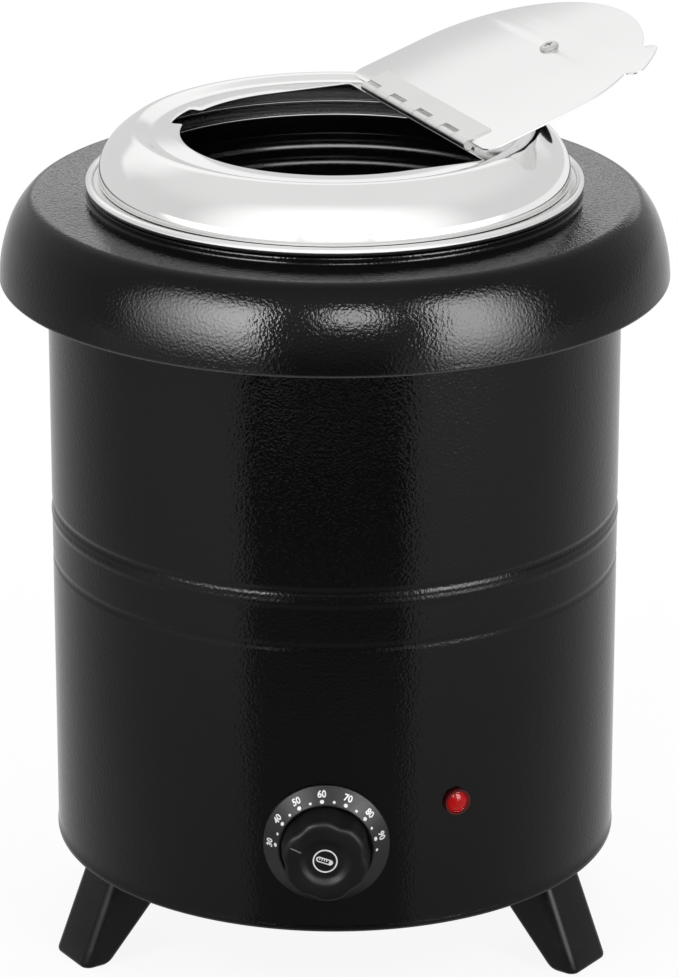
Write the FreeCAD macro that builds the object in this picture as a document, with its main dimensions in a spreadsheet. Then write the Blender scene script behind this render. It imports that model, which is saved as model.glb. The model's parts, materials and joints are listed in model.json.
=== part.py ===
# Soup kettle: a painted steel casing with a water bath, a lift-out pot and a lid with a hinged flap.
# Millimetres, +Z up. The origin is on the floor under the kettle's axis and the dial faces -Y.
import FreeCAD, Part
import math
import os
from types import SimpleNamespace

import Sketcher

Vector = FreeCAD.Vector

# Driving dimensions: alias, size and what it is.
SIZES = [
    ("seat_gap", 0.3, "gap under a piece that rests loose on another"),
    ("slip_gap", 0.1, "gap between fixed pieces that slip together"),
    ("run_gap", 0.05, "radial gap of a turning or threaded fit"),
    ("leg_height", 44, "floor to the underside of the casing"),
    ("body_radius", 146, "outside of the casing wall"),
    ("body_wall", 1, "casing sheet"),
    ("lower_groove_z", 197.5, "height of the lower rolled line"),
    ("upper_groove_z", 223.5, "height of the upper rolled line"),
    ("groove_half", 2.5, "half the height of a rolled line"),
    ("groove_depth", 1, "how far a rolled line goes in"),
    ("bead_rise", 0.7, "how far the upper line's bead stands out"),
    ("collar_top", 392, "height of the collar's neck, which carries the tank and the pot"),
    ("neck_height", 4, "neck above the collar's flat shelf"),
    ("neck_width", 8, "collar's hole out to the neck's outside"),
    ("collar_sheet", 1.2, "collar sheet"),
    ("collar_overhang", 22, "collar beyond the casing where the shoulder begins"),
    ("lip_flare", 2.4, "how far the collar's lower lip flares out"),
    ("collar_lip_z", 346, "height of the lower lip"),
    ("collar_round", 40, "outer radius of the collar's shoulder"),
    ("shelf_round", 8, "outer radius of the edge between the shelf and the shoulder"),
    ("shelf_turn", 45, "how far that edge turns down, in degrees"),
    ("jacket_gap", 29, "casing wall in to the inside of the water tank"),
    ("tank_sheet", 1, "tank sheet"),
    ("flange_width", 5, "tank's flange"),
    ("tank_floor_z", 118, "underside of the tank"),
    ("tank_round", 12, "inner radius of the tank's bottom corner"),
    ("bath_gap", 4, "water between the pot's wall and the tank's"),
    ("pot_sheet", 1, "pot sheet"),
    ("pot_floor_z", 141, "underside of the pot"),
    ("pot_round", 13, "inner radius of the pot's bottom corner"),
    ("pot_mouth_round", 3, "rounding from the pot's wall into its flange"),
    ("rim_reach", 5.2, "tank's flange out to the edge of the pot's rolled rim"),
    ("rim_bead", 2.25, "radius of the rolled rim"),
    ("rim_step", 1.5, "top of the rolled rim down to the lid's seat inside it"),
    ("pot_bead_drop", 16, "pot's flange down to its first stiffening bead"),
    ("pot_bead_step", 9, "first stiffening bead down to the second"),
    ("lid_inset", 6.7, "pot's rim in to the lid's foot"),
    ("dome_skirt", 7.3, "straight foot of the lid"),
    ("dome_shoulder", 12, "rounding above that foot"),
    ("dome_curve", 56, "radius of the lid's domed side"),
    ("dome_lean", 49.2, "where those two roundings meet, in degrees from the upright"),
    ("lid_sheet", 1, "lid sheet"),
    ("dome_width", 21, "lid's foot in to the recess that the flap lies in"),
    ("recess_depth", 3.65, "lid's crest down to the recess"),
    ("recess_round", 2.5, "rounding from the crest into the recess"),
    ("crest_flat", 0.5, "level top of the lid between that rounding and the dome"),
    ("ledge_width", 20.5, "recess in to the opening's round end"),
    ("opening_edge", 1, "how far the opening's straight edge lies in front of the hinge pin"),
    ("notch_depth", 6.5, "depth of the ladle notch"),
    ("notch_turn", 225.4, "direction of the ladle notch, in degrees from the hinge pin"),
    ("notch_span", 20, "width of the ladle notch in degrees"),
    ("locating_gap", 0.6, "radial gap of the lid's locating skirt in the pot"),
    ("locating_depth", 9, "length of the locating skirt"),
    ("hinge_offset", 45.4, "hinge pin off the lid's axis"),
    ("hinge_yaw", -63.4, "direction of the hinge pin, in degrees from +X"),
    ("hinge_inset", 20, "flap's side in to the end of the hinge"),
    ("knuckle_gap", 0.3, "gap between hinge knuckles"),
    ("barrel_radius", 2.5, "outside of the hinge barrel"),
    ("barrel_gap", 0.4, "gap between the barrel and the recess"),
    ("pin_radius", 1.2, "hinge pin"),
    ("leaf_sheet", 1, "hinge leaf sheet"),
    ("leaf_width", 14, "hinge pin to the edge of a leaf"),
    ("slot_gap", 0.9, "gap behind a knuckle in the opposite leaf"),
    ("flap_overlap", 2, "how far the flap reaches over the opening's edge"),
    ("flap_sheet", 1, "flap sheet"),
    ("flap_foot", 1.5, "hinge pin to the flap's corners"),
    ("flap_open", 18.4, "angle of the open flap above the level"),
    ("tab_length", 8.5, "length of the finger tab"),
    ("tab_turn", 42.5, "direction of the finger tab on the flap in degrees"),
    ("tab_span", 20, "width of the finger tab in degrees"),
    ("grip_height", 28, "height of the flap's knob"),
    ("grip_radius", 20, "rim of the flap's knob"),
    ("grip_edge", 2, "bevelled edge of that rim"),
    ("grip_band", 4, "height of that rim"),
    ("grip_base", 9, "foot of the flap's knob"),
    ("grip_neck", 7, "neck of the flap's knob"),
    ("grip_screw", 2, "shank of the flap knob's screw"),
    ("grip_screw_depth", 14, "how far that screw goes into the knob"),
    ("grip_screw_head", 5, "head radius of that screw"),
    ("dial_z", 93, "height of the dial's centre"),
    ("bezel_radius", 31.5, "outside of the dial's bezel"),
    ("bezel_mouth", 24, "inner edge of the bezel's sloping face"),
    ("bezel_height", 8, "that inner edge in front of the casing"),
    ("bezel_edge", 1, "outer edge of the sloping face in front of the casing"),
    ("bezel_recess", 23.3, "radius of the recess that the knob runs in"),
    ("bezel_recess_depth", 4.5, "depth of that recess"),
    ("knob_radius", 22.5, "outside of the control knob at its foot"),
    ("knob_face", 20.8, "outside of the control knob at its face"),
    ("knob_height", 20.5, "height of the control knob"),
    ("knob_dish", 9.5, "radius of the dish in the knob's face"),
    ("knob_dish_depth", 2.2, "depth of that dish"),
    ("flute_radius", 9, "radius of a finger flute in the knob"),
    ("flute_depth", 2, "depth of a finger flute"),
    ("shaft_radius", 3, "thermostat shaft"),
    ("shaft_seat", 10, "length of the shaft inside the knob or the thermostat"),
    ("shaft_hole", 4, "hole for the shaft in the bezel and the casing"),
    ("thermostat_width", 38, "thermostat across the front"),
    ("thermostat_height", 34, "thermostat's height"),
    ("thermostat_depth", 30, "thermostat front to back"),
    ("control_screw_pitch", 28, "distance between the thermostat's two screws"),
    ("control_screw", 2, "shank of those screws"),
    ("control_screw_head", 3.5, "head radius of those screws"),
    ("control_head_height", 2.2, "head height of those screws"),
    ("control_screw_length", 13, "length of those screws"),
    ("bulb_radius", 3, "sensing bulb"),
    ("bulb_length", 70, "sensing bulb's length"),
    ("bulb_z", 152, "lower end of the sensing bulb"),
    ("bulb_x", 8, "sensing bulb off the middle"),
    ("capillary_radius", 0.9, "capillary tube"),
    ("capillary_set_back", 9.6, "thermostat's front to where the capillary leaves it"),
    ("capillary_bend", 5, "bend radius of the capillary"),
    ("clip_wall", 1, "sheet of the bulb's clip"),
    ("clip_width", 10, "width of the bulb's clip"),
    ("clip_mouth", 2.4, "half the clip's opening on the tank's side"),
    ("lamp_turn", 26.2, "direction of the pilot lamp, in degrees from the dial"),
    ("lamp_z", 110, "height of the pilot lamp"),
    ("lamp_rim", 6.8, "outside of the lamp's rim"),
    ("lamp_rim_height", 2.2, "height of the lamp's rim"),
    ("lamp_lens", 5.6, "lens radius"),
    ("lamp_lens_rise", 3.6, "lens above its seat"),
    ("lamp_barrel", 4.9, "lamp body through the casing"),
    ("lamp_length", 24, "lamp body inside the casing"),
    ("lamp_nut", 8, "lamp nut across its corners, halved"),
    ("lamp_nut_height", 4, "lamp nut"),
    ("gland_z", 84, "height of the cord gland"),
    ("gland_flange", 12, "outside of the gland's flange"),
    ("gland_flange_height", 3, "gland flange"),
    ("gland_nose", 8.5, "outside of the gland's nose"),
    ("gland_nose_height", 11, "gland nose"),
    ("gland_thread", 8, "gland thread through the casing"),
    ("gland_length", 18, "gland thread inside the casing"),
    ("gland_bore", 4, "gland bore for the cord"),
    ("gland_nut_height", 5, "gland nut"),
    ("nut_set_back", 0.4, "flat nut off the curved casing wall"),
    ("base_sheet", 1, "base plate sheet"),
    ("base_rim", 15, "height of the base plate's rim"),
    ("vent_inner", 35, "inner end of a vent slot"),
    ("vent_outer", 75, "outer end of a vent slot"),
    ("vent_half", 2.5, "half the width of a vent slot"),
    ("rim_screw", 1.5, "shank of the base plate's screws"),
    ("rim_screw_head", 3.2, "head radius of those screws"),
    ("rim_screw_head_height", 1.5, "head height of those screws"),
    ("rim_screw_length", 7, "length of those screws"),
    ("rim_screw_z", 8, "base plate up to those screws"),
    ("leg_turn", 56, "direction of the front legs, in degrees from the dial"),
    ("leg_inset", 1, "casing wall in to a leg's outer face at its top"),
    ("leg_depth", 40, "leg's depth at its top"),
    ("leg_splay", 18, "how far a leg's outer face goes out"),
    ("foot_depth", 17, "leg's depth at the floor"),
    ("leg_half_top", 16, "half the width of a leg at its top"),
    ("leg_half_foot", 16.5, "half the width of a leg at the floor"),
    ("leg_round", 3, "rounded edges of a leg"),
    ("leg_screw", 2.5, "shank of a leg's screws"),
    ("leg_screw_head", 4.5, "head radius of a leg's screws"),
    ("leg_screw_head_height", 3, "head height of a leg's screws"),
    ("leg_screw_depth", 12, "how far those screws go into the leg"),
    ("leg_screw_half", 8, "half the distance between a leg's screws"),
    ("leg_screw_inset", 14, "leg's outer face in to its screws"),
    ("heater_ring", 75, "mean radius of the heating element"),
    ("heater_tube", 4, "radius of the element's tube"),
    ("heater_span", 330, "how far round the element goes, in degrees"),
    ("heater_pin", 2, "element's terminal pins"),
    ("heater_pin_length", 20, "length of those pins"),
    ("clamp_length", 180, "clamp bar under the element"),
    ("clamp_width", 24, "clamp bar's width"),
    ("clamp_sheet", 2, "clamp bar's sheet"),
    ("stud_radius", 3, "stud under the tank"),
    ("stud_tail", 9, "stud below the clamp bar"),
    ("stud_nut_height", 5, "nut on that stud"),
    ("stud_nut", 6.4, "that nut across its corners, halved"),
    ("cutout_radius", 8, "thermal cut-out"),
    ("cutout_x", 36, "thermal cut-out off the middle"),
    ("terminal_length", 48, "terminal block's length"),
    ("terminal_width", 20, "terminal block's width"),
    ("terminal_height", 16, "terminal block's height"),
    ("terminal_x", -40, "middle of the terminal block, across"),
    ("terminal_y", 86, "middle of the terminal block, front to back"),
    ("terminal_pitch", 15, "pitch of the terminals"),
    ("terminal_row", 10, "distance between the two rows of terminals"),
    ("terminal_screw", 2.2, "terminal screw"),
    ("terminal_screw_height", 3, "terminal screw's height"),
    ("earth_x", 38, "earth stud, across"),
    ("earth_y", 96, "earth stud, front to back"),
    ("earth_radius", 2.5, "earth stud"),
    ("earth_height", 14, "earth stud's height"),
    ("earth_nut", 4.6, "earth nut across its corners, halved"),
    ("earth_nut_height", 4, "earth nut"),
    ("wire_radius", 1, "wire with its insulation"),
    ("wire_bend", 4, "bend radius of a wire"),
    ("wire_drop", 5, "height between the wires' levels"),
]
KNUCKLES = 8
FLUTES = 6
VENTS = 12
TERMINALS = 3
RIM_SCREW_TURNS = (100, 180, 260)
HEX = 6

os.makedirs("parts", exist_ok=True)
doc = FreeCAD.newDocument("soup_kettle")
sheet = doc.addObject("Spreadsheet::Sheet", "dims")
nodes = []


class Size:
    """A value together with the expression that binds it to the sheet."""

    def __init__(self, value, text=None):
        self.value = float(value)
        self.text = text or f"({self.value!r})"

    def __add__(self, other):
        other = as_size(other)
        return Size(self.value + other.value, f"({self.text} + {other.text})")

    def __sub__(self, other):
        other = as_size(other)
        return Size(self.value - other.value, f"({self.text} - {other.text})")

    def __mul__(self, other):
        other = as_size(other)
        return Size(self.value * other.value, f"({self.text} * {other.text})")

    def __truediv__(self, other):
        other = as_size(other)
        return Size(self.value / other.value, f"({self.text} / {other.text})")

    def __rsub__(self, other):
        return as_size(other) - self

    def __neg__(self):
        return 0 - self

    __radd__ = __add__
    __rmul__ = __mul__


def as_size(number):
    return number if isinstance(number, Size) else Size(number)


def cos(angle):
    angle = as_size(angle)
    return Size(math.cos(math.radians(angle.value)), f"cos({angle.text})")


def sin(angle):
    angle = as_size(angle)
    return Size(math.sin(math.radians(angle.value)), f"sin({angle.text})")


def leg_of(hypotenuse, side):
    """The third side of a right triangle."""
    square = hypotenuse * hypotenuse - side * side
    return Size(math.sqrt(square.value), f"sqrt({square.text})")


def fill_sheet():
    sizes = {}
    for row, (alias, number, meaning) in enumerate(SIZES, 1):
        sheet.set(f"A{row}", meaning)
        sheet.set(f"B{row}", str(number))
        sheet.setAlias(f"B{row}", alias)
        sizes[alias] = Size(number, f"dims.{alias}")
    doc.recompute()
    return SimpleNamespace(**sizes)


d = fill_sheet()

# Sizes that follow from the driving ones: casing, tank and pot.
casing_z = d.leg_height
base_top = casing_z + d.base_sheet
body_inner = d.body_radius - d.body_wall
collar_side = d.body_radius + d.collar_overhang
collar_lip = collar_side + d.lip_flare
shelf_z = d.collar_top - d.neck_height
shoulder_r = collar_side - d.collar_round
bend_r = shoulder_r + d.collar_round * sin(d.shelf_turn)
shelf_r = bend_r - d.shelf_round * sin(d.shelf_turn)
bend_z = shelf_z - d.shelf_round * (1 - cos(d.shelf_turn))
shoulder_z = bend_z - d.collar_round * cos(d.shelf_turn)
body_top = shelf_z - d.collar_sheet - d.slip_gap
tank_radius = body_inner - d.jacket_gap
tank_outer = tank_radius + d.tank_sheet
tank_flange = tank_radius + d.flange_width
flange_top = d.collar_top + d.tank_sheet
pot_outer = tank_radius - d.bath_gap
pot_radius = pot_outer - d.pot_sheet
pot_rim = tank_flange + d.rim_reach
rim_top = d.collar_top + d.seat_gap + 2 * d.rim_bead
lid_seat = rim_top - d.rim_step

# Lid and flap.
dome_radius = pot_rim - d.lid_inset
recess_radius = dome_radius - d.dome_width
opening_radius = recess_radius - d.ledge_width
notch_radius = opening_radius + d.notch_depth
flap_radius = opening_radius + d.flap_overlap
tab_radius = flap_radius + d.tab_length
lid_z = lid_seat + d.seat_gap
dome_z = lid_z + d.dome_skirt
dome_middle_r = dome_radius - d.dome_shoulder - (d.dome_curve - d.dome_shoulder) * sin(d.dome_lean)
dome_middle_z = dome_z - (d.dome_curve - d.dome_shoulder) * cos(d.dome_lean)
crest_r = recess_radius + d.recess_round + d.crest_flat
crest_z = dome_middle_z + leg_of(d.dome_curve, crest_r - dome_middle_r)
ledge_z = crest_z - d.recess_depth
hinge_half = flap_radius - d.hinge_inset
knuckle_pitch = 2 * hinge_half / KNUCKLES
pin_x = -d.hinge_offset * sin(d.hinge_yaw)
pin_y = d.hinge_offset * cos(d.hinge_yaw)
pin_z = ledge_z + d.barrel_radius + d.barrel_gap
flap_face = d.barrel_radius + d.slip_gap - d.leaf_sheet
flap_back = flap_face - d.flap_sheet

# The flap's knob lies where its rim rests on the lid's dome when the flap is open.
dome_out = dome_middle_r - d.hinge_offset
dome_down = pin_z - dome_middle_z
dome_along = dome_out * cos(d.flap_open) - dome_down * sin(d.flap_open)
dome_below = dome_out * sin(d.flap_open) + dome_down * cos(d.flap_open)
grip_depth = d.grip_height - d.grip_edge - flap_back
grip_reach = dome_along + leg_of(d.dome_curve + d.seat_gap, dome_below - grip_depth) + d.grip_radius

# Legs, dial and heater.
leg_top_outer = d.body_radius - d.leg_inset
leg_top_inner = leg_top_outer - d.leg_depth
leg_foot_outer = leg_top_outer + d.leg_splay
leg_foot_inner = leg_foot_outer - d.foot_depth
leg_screw_radius = leg_top_outer - d.leg_screw_inset
bezel_y = -d.body_radius - d.bezel_height
recess_y = bezel_y + d.bezel_recess_depth
screw_seat_y = recess_y + d.control_head_height + d.slip_gap
knob_y = recess_y - d.seat_gap
thermostat_y = -leg_of(body_inner, d.thermostat_width / 2) + d.slip_gap
capillary_y = thermostat_y + d.capillary_set_back
heater_z = d.tank_floor_z - d.slip_gap - d.heater_tube
clamp_z = heater_z - d.heater_tube - d.slip_gap
pin_bottom = heater_z + d.heater_pin - d.heater_pin_length


def finish(obj, label):
    """Make an object one of the kettle's sub-parts."""
    obj.Label = label
    nodes.append(obj)
    return obj


def bind(obj, **sizes):
    for name, size in sizes.items():
        obj.setExpression(name, as_size(size).text)
    return obj


def place(obj, x=0, y=0, z=0, yaw=0, roll=0):
    x, y, z, yaw, roll = (as_size(number).text for number in (x, y, z, yaw, roll))
    obj.setExpression("Placement", f"placement(vector({x}; {y}; {z}); rotation({yaw}; 0; {roll}))")
    return obj


def place_outward(obj, turn, radius, z):
    """Point an object's own Z away from the kettle's axis, turned from the dial's side."""
    return place(obj, radius * sin(turn), -radius * cos(turn), z, turn, 90)


def place_on_flap(obj, reach):
    """Put an object on the flap's own plane, that far from the hinge pin."""
    level = reach * cos(d.flap_open)
    x = pin_x - level * sin(d.hinge_yaw)
    y = pin_y + level * cos(d.hinge_yaw)
    return place(obj, x, y, pin_z + reach * sin(d.flap_open), d.hinge_yaw, d.flap_open)


def add(kind, name):
    return doc.addObject(kind, name)


def cylinder(name, radius, height):
    return bind(add("Part::Cylinder", name), Radius=radius, Height=height)


def box(name, x, y, z, length, width, height):
    return place(bind(add("Part::Box", name), Length=length, Width=width, Height=height), x, y, z)


def group(name, members):
    compound = add("Part::Compound", name)
    compound.Links = members
    return compound


def cut(name, base, tools):
    result = add("Part::Cut", name)
    result.Base = base
    result.Tool = tools[0] if len(tools) == 1 else group(f"{name}_tools", tools)
    return result


def fuse(name, members):
    result = add("Part::MultiFuse", name)
    result.Shapes = members
    result.Refine = True
    return result


def body(name):
    return add("PartDesign::Body", name)


def attach(feature, owner, role):
    """Put a feature flat on one of its body's own origin planes."""
    plane = next(entry for entry in owner.Origin.OriginFeatures if entry.Role == role)
    feature.AttachmentSupport = [(plane, "")]
    feature.MapMode = "FlatFace"


def sketch_on(owner, name, role, offset=None):
    """A sketch on one of a body's own origin planes, moved along its normal."""
    sketch = owner.newObject("Sketcher::SketchObject", name)
    attach(sketch, owner, role)
    if offset is not None:
        sketch.setExpression("AttachmentOffset.Base.z", as_size(offset).text)
    return sketch


def hold(sketch, kind, geometry, point, size):
    size = as_size(size)
    index = sketch.addConstraint(Sketcher.Constraint(kind, -1, 1, geometry, point, size.value))
    sketch.setExpression(f"Constraints[{index}]", size.text)


def arc_between(start, end, radius, turn):
    """The arc from start to end that turns left (1) or right (-1) by less than half a circle."""
    chord = end - start
    normal = Vector(-chord.y, chord.x, 0).normalize()
    rise = math.sqrt(max(radius**2 - chord.Length**2 / 4, 0))
    centre = (start + end) / 2 + normal * rise * turn
    first, last = (start, end) if turn > 0 else (end, start)
    angles = [math.atan2(point.y - centre.y, point.x - centre.x) for point in (first, last)]
    return Part.ArcOfCircle(Part.Circle(centre, Vector(0, 0, 1), radius), *angles)


def outline(sketch, points):
    """A closed outline. A point is (x, y), or (x, y, radius, turn) where an arc leads to it."""
    base = sketch.GeometryCount
    count = len(points)
    spots = [Vector(as_size(point[0]).value, as_size(point[1]).value, 0) for point in points]
    ends = []
    for i in range(count):
        start, end, target = spots[i], spots[(i + 1) % count], points[(i + 1) % count]
        if len(target) == 2:
            sketch.addGeometry(Part.LineSegment(start, end), False)
            ends.append((1, 2))
        else:
            radius, turn = as_size(target[2]), target[3]
            sketch.addGeometry(arc_between(start, end, radius.value, turn), False)
            ends.append((1, 2) if turn > 0 else (2, 1))
    for i in range(count):
        follower = (i + 1) % count
        meet = Sketcher.Constraint("Coincident", base + i, ends[i][1], base + follower, ends[follower][0])
        sketch.addConstraint(meet)
        hold(sketch, "DistanceX", base + i, ends[i][0], points[i][0])
        hold(sketch, "DistanceY", base + i, ends[i][0], points[i][1])
        if len(points[follower]) == 4:
            radius = as_size(points[follower][2])
            index = sketch.addConstraint(Sketcher.Constraint("Radius", base + i, radius.value))
            sketch.setExpression(f"Constraints[{index}]", radius.text)
    return sketch


def circle(sketch, x, y, radius):
    x, y, radius = as_size(x), as_size(y), as_size(radius)
    shape = Part.Circle(Vector(x.value, y.value, 0), Vector(0, 0, 1), radius.value)
    index = sketch.addGeometry(shape, False)
    hold(sketch, "DistanceX", index, 3, x)
    hold(sketch, "DistanceY", index, 3, y)
    held = sketch.addConstraint(Sketcher.Constraint("Radius", index, radius.value))
    sketch.setExpression(f"Constraints[{held}]", radius.text)
    return sketch


def rectangle(sketch, x0, x1, y0, y1):
    return outline(sketch, [(x0, y0), (x1, y0), (x1, y1), (x0, y1)])


def revolve(name, points):
    """A body turned about its own Z, from an outline of (radius, height) points."""
    owner = body(name)
    section = outline(sketch_on(owner, f"{name}_section", "XZ_Plane"), points)
    turned = owner.newObject("PartDesign::Revolution", f"{name}_turned")
    turned.Profile = section
    turned.ReferenceAxis = (section, ["V_Axis"])
    turned.Angle = 360
    return owner


def pad(owner, sketch, length, midplane=False):
    feature = owner.newObject("PartDesign::Pad", f"{sketch.Name}_pad")
    feature.Profile = sketch
    feature.Midplane = midplane
    return bind(feature, Length=length)


def pocket(owner, sketch, depth=None):
    """A pocket of a given depth against the sketch's normal, or right through both ways."""
    feature = owner.newObject("PartDesign::Pocket", f"{sketch.Name}_pocket")
    feature.Profile = sketch
    if depth is None:
        feature.Type = "ThroughAll"
        feature.Midplane = True
        return feature
    return bind(feature, Length=depth)


def polar(owner, feature, sketch, count):
    pattern = owner.newObject("PartDesign::PolarPattern", f"{feature.Name}_pattern")
    pattern.Originals = [feature]
    pattern.Axis = (sketch, ["N_Axis"])
    pattern.Angle = 360
    pattern.Occurrences = count
    owner.Tip = pattern
    return pattern


def turned_screw(name, shank, length, head, head_height):
    """A screw with its head standing on its own XY plane and its shank below."""
    points = [(0, -length), (shank, -length), (shank, 0), (head, 0), (head, head_height), (0, head_height)]
    return revolve(name, points)


def hex_nut(name, corner, height, bore):
    owner = body(name)
    spots = [(corner * cos(60 * i), corner * sin(60 * i)) for i in range(HEX)]
    pad(owner, outline(sketch_on(owner, f"{name}_hex", "XY_Plane"), spots), height)
    pocket(owner, circle(sketch_on(owner, f"{name}_bore", "XY_Plane"), 0, 0, bore))
    return owner


def hole_outward(name, turn, radius, z, start, length):
    """A drill along the radius, from that distance off the axis outwards."""
    return place_outward(cylinder(name, radius, length), turn, start, z)


def rolled_wall(radius):
    """The casing's wall upwards: a groove below, a bead under a groove above."""
    half = d.groove_half
    return [
        (radius, d.lower_groove_z - half),
        (radius - d.groove_depth, d.lower_groove_z),
        (radius, d.lower_groove_z + half),
        (radius, d.upper_groove_z - 2 * half),
        (radius + d.bead_rise, d.upper_groove_z - half),
        (radius, d.upper_groove_z),
        (radius - d.groove_depth, d.upper_groove_z + half),
        (radius, d.upper_groove_z + 2 * half),
    ]


def outer_body():
    wall_out = [(d.body_radius, casing_z), *rolled_wall(d.body_radius), (d.body_radius, body_top)]
    wall_in = [(body_inner, casing_z), *rolled_wall(body_inner), (body_inner, body_top)]
    shell = revolve("body_shell", wall_out + wall_in[::-1])
    drill = 2 * d.bezel_height
    start = body_inner - d.bezel_height
    lamp_hole = d.lamp_barrel + d.slip_gap
    gland_hole = d.gland_thread + d.slip_gap
    holes = [
        hole_outward("body_shaft_hole", 0, d.shaft_hole, d.dial_z, start, drill),
        hole_outward("body_lamp_hole", d.lamp_turn, lamp_hole, d.lamp_z, start, drill),
        hole_outward("body_gland_hole", 180, gland_hole, d.gland_z, start, drill),
    ]
    holes += control_drills("body", d.control_screw + d.slip_gap, -start, drill)
    holes += rim_drills("body")
    finish(cut("outer_body", shell, holes), "outer_body")


def control_drills(owner, radius, y, length):
    """Drills for the thermostat's two screws, from that depth towards the front."""
    drills = []
    for side in (-1, 1):
        drill = cylinder(f"{owner}_control_drill_{side + 1}", radius, length)
        drills.append(place(drill, side * d.control_screw_pitch / 2, y, d.dial_z, 0, 90))
    return drills


def rim_drills(owner):
    """Drills for the screws that hold the base plate's rim in the casing."""
    start = body_inner - d.rim_screw_length
    z = base_top + d.rim_screw_z
    drills = []
    for turn in RIM_SCREW_TURNS:
        name = f"{owner}_rim_drill_{turn}"
        drills.append(hole_outward(name, turn, d.rim_screw + d.run_gap, z, start, 2 * d.rim_screw_length))
    return drills


def top_collar():
    """A pressed ring: a neck round the tank, a flat shelf, and a shoulder that ends in a flared lip."""
    thick = d.collar_sheet
    hole = tank_outer + d.slip_gap
    neck = hole + d.neck_width
    bend_in_r = bend_r - thick * sin(d.shelf_turn)
    bend_in_z = bend_z - thick * cos(d.shelf_turn)
    points = [
        (hole, d.collar_top),
        (hole, d.collar_top - thick),
        (neck - thick, d.collar_top - thick),
        (neck - thick, shelf_z - thick),
        (shelf_r, shelf_z - thick),
        (bend_in_r, bend_in_z, d.shelf_round - thick, -1),
        (collar_side - thick, shoulder_z, d.collar_round - thick, -1),
        (collar_lip - thick, d.collar_lip_z),
        (collar_lip, d.collar_lip_z),
        (collar_side, shoulder_z),
        (bend_r, bend_z, d.collar_round, 1),
        (shelf_r, shelf_z, d.shelf_round, 1),
        (neck, shelf_z),
        (neck, d.collar_top),
    ]
    finish(revolve("top_collar", points), "top_collar")


def water_tank():
    floor_top = d.tank_floor_z + d.tank_sheet
    corner_r = tank_radius - d.tank_round
    corner_z = floor_top + d.tank_round
    points = [
        (0, d.tank_floor_z),
        (corner_r, d.tank_floor_z),
        (tank_outer, corner_z, d.tank_round + d.tank_sheet, 1),
        (tank_outer, d.collar_top),
        (tank_flange, d.collar_top),
        (tank_flange, flange_top),
        (tank_radius, flange_top),
        (tank_radius, corner_z),
        (corner_r, floor_top, d.tank_round, -1),
        (0, floor_top),
    ]
    finish(revolve("water_tank", points), "water_tank")


def pot_wall(radius):
    """The pot's wall upwards past its two stiffening beads."""
    points = []
    for drop in (d.pot_bead_drop + d.pot_bead_step, d.pot_bead_drop):
        z = rim_top - drop
        points += [
            (radius, z - d.groove_half),
            (radius + d.groove_depth, z),
            (radius, z + d.groove_half),
        ]
    return points


def inner_pot():
    floor_top = d.pot_floor_z + d.pot_sheet
    corner_r = pot_radius - d.pot_round
    corner_z = floor_top + d.pot_round
    under = lid_seat - d.pot_sheet
    bead_r = pot_rim - d.rim_bead
    bead_z = rim_top - d.rim_bead
    meet_under = bead_r - leg_of(d.rim_bead, bead_z - under)
    meet_top = bead_r - leg_of(d.rim_bead, lid_seat - bead_z)
    points = [
        (0, d.pot_floor_z),
        (corner_r, d.pot_floor_z),
        (pot_outer, corner_z, d.pot_round + d.pot_sheet, 1),
        *pot_wall(pot_outer),
        (pot_outer, under),
        (meet_under, under),
        (bead_r, rim_top - 2 * d.rim_bead, d.rim_bead, 1),
        (pot_rim, bead_z, d.rim_bead, 1),
        (bead_r, rim_top, d.rim_bead, 1),
        (meet_top, lid_seat, d.rim_bead, 1),
        (pot_radius + d.pot_mouth_round, lid_seat),
        (pot_radius, lid_seat - d.pot_mouth_round, d.pot_mouth_round, 1),
        *pot_wall(pot_radius)[::-1],
        (pot_radius, corner_z),
        (corner_r, floor_top, d.pot_round, -1),
        (0, floor_top),
    ]
    finish(revolve("inner_pot", points), "inner_pot")


def on_circle(radius, angle, y=0):
    return radius * cos(angle), radius * sin(angle) + y


def lid():
    thick = d.lid_sheet
    step_in = recess_radius + thick
    step_z = crest_z - d.recess_round
    lean_r, lean_z = sin(d.dome_lean), cos(d.dome_lean)
    meet_r = dome_middle_r + d.dome_curve * lean_r
    meet_z = dome_middle_z + d.dome_curve * lean_z
    crest_in = dome_middle_z + leg_of(d.dome_curve - thick, crest_r - dome_middle_r)
    points = [
        (0, ledge_z),
        (0, ledge_z - thick),
        (step_in, ledge_z - thick),
        (step_in, step_z),
        (recess_radius + d.recess_round, crest_z - thick, d.recess_round - thick, -1),
        (crest_r, crest_in),
        (meet_r - thick * lean_r, meet_z - thick * lean_z, d.dome_curve - thick, -1),
        (dome_radius - thick, dome_z, d.dome_shoulder - thick, -1),
        (dome_radius - thick, lid_z),
        (dome_radius, lid_z),
        (dome_radius, dome_z),
        (meet_r, meet_z, d.dome_shoulder, 1),
        (crest_r, crest_z, d.dome_curve, 1),
        (recess_radius + d.recess_round, crest_z),
        (recess_radius, step_z, d.recess_round, 1),
        (recess_radius, ledge_z),
    ]
    owner = revolve("lid", points)
    edge = d.hinge_offset - d.opening_edge
    wide = opening_radius
    notch_from = d.notch_turn - d.notch_span / 2
    notch_to = d.notch_turn + d.notch_span / 2
    opening = sketch_on(owner, "lid_opening", "XY_Plane")
    outline(opening, [
        (wide, edge),
        (-wide, edge),
        (-wide, 0),
        (*on_circle(wide, notch_from), wide, 1),
        on_circle(notch_radius, notch_from),
        (*on_circle(notch_radius, notch_to), notch_radius, 1),
        on_circle(wide, notch_to),
        (wide, 0, wide, 1),
    ])
    pocket(owner, opening)
    finish(place(owner, yaw=d.hinge_yaw), "lid")


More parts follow.
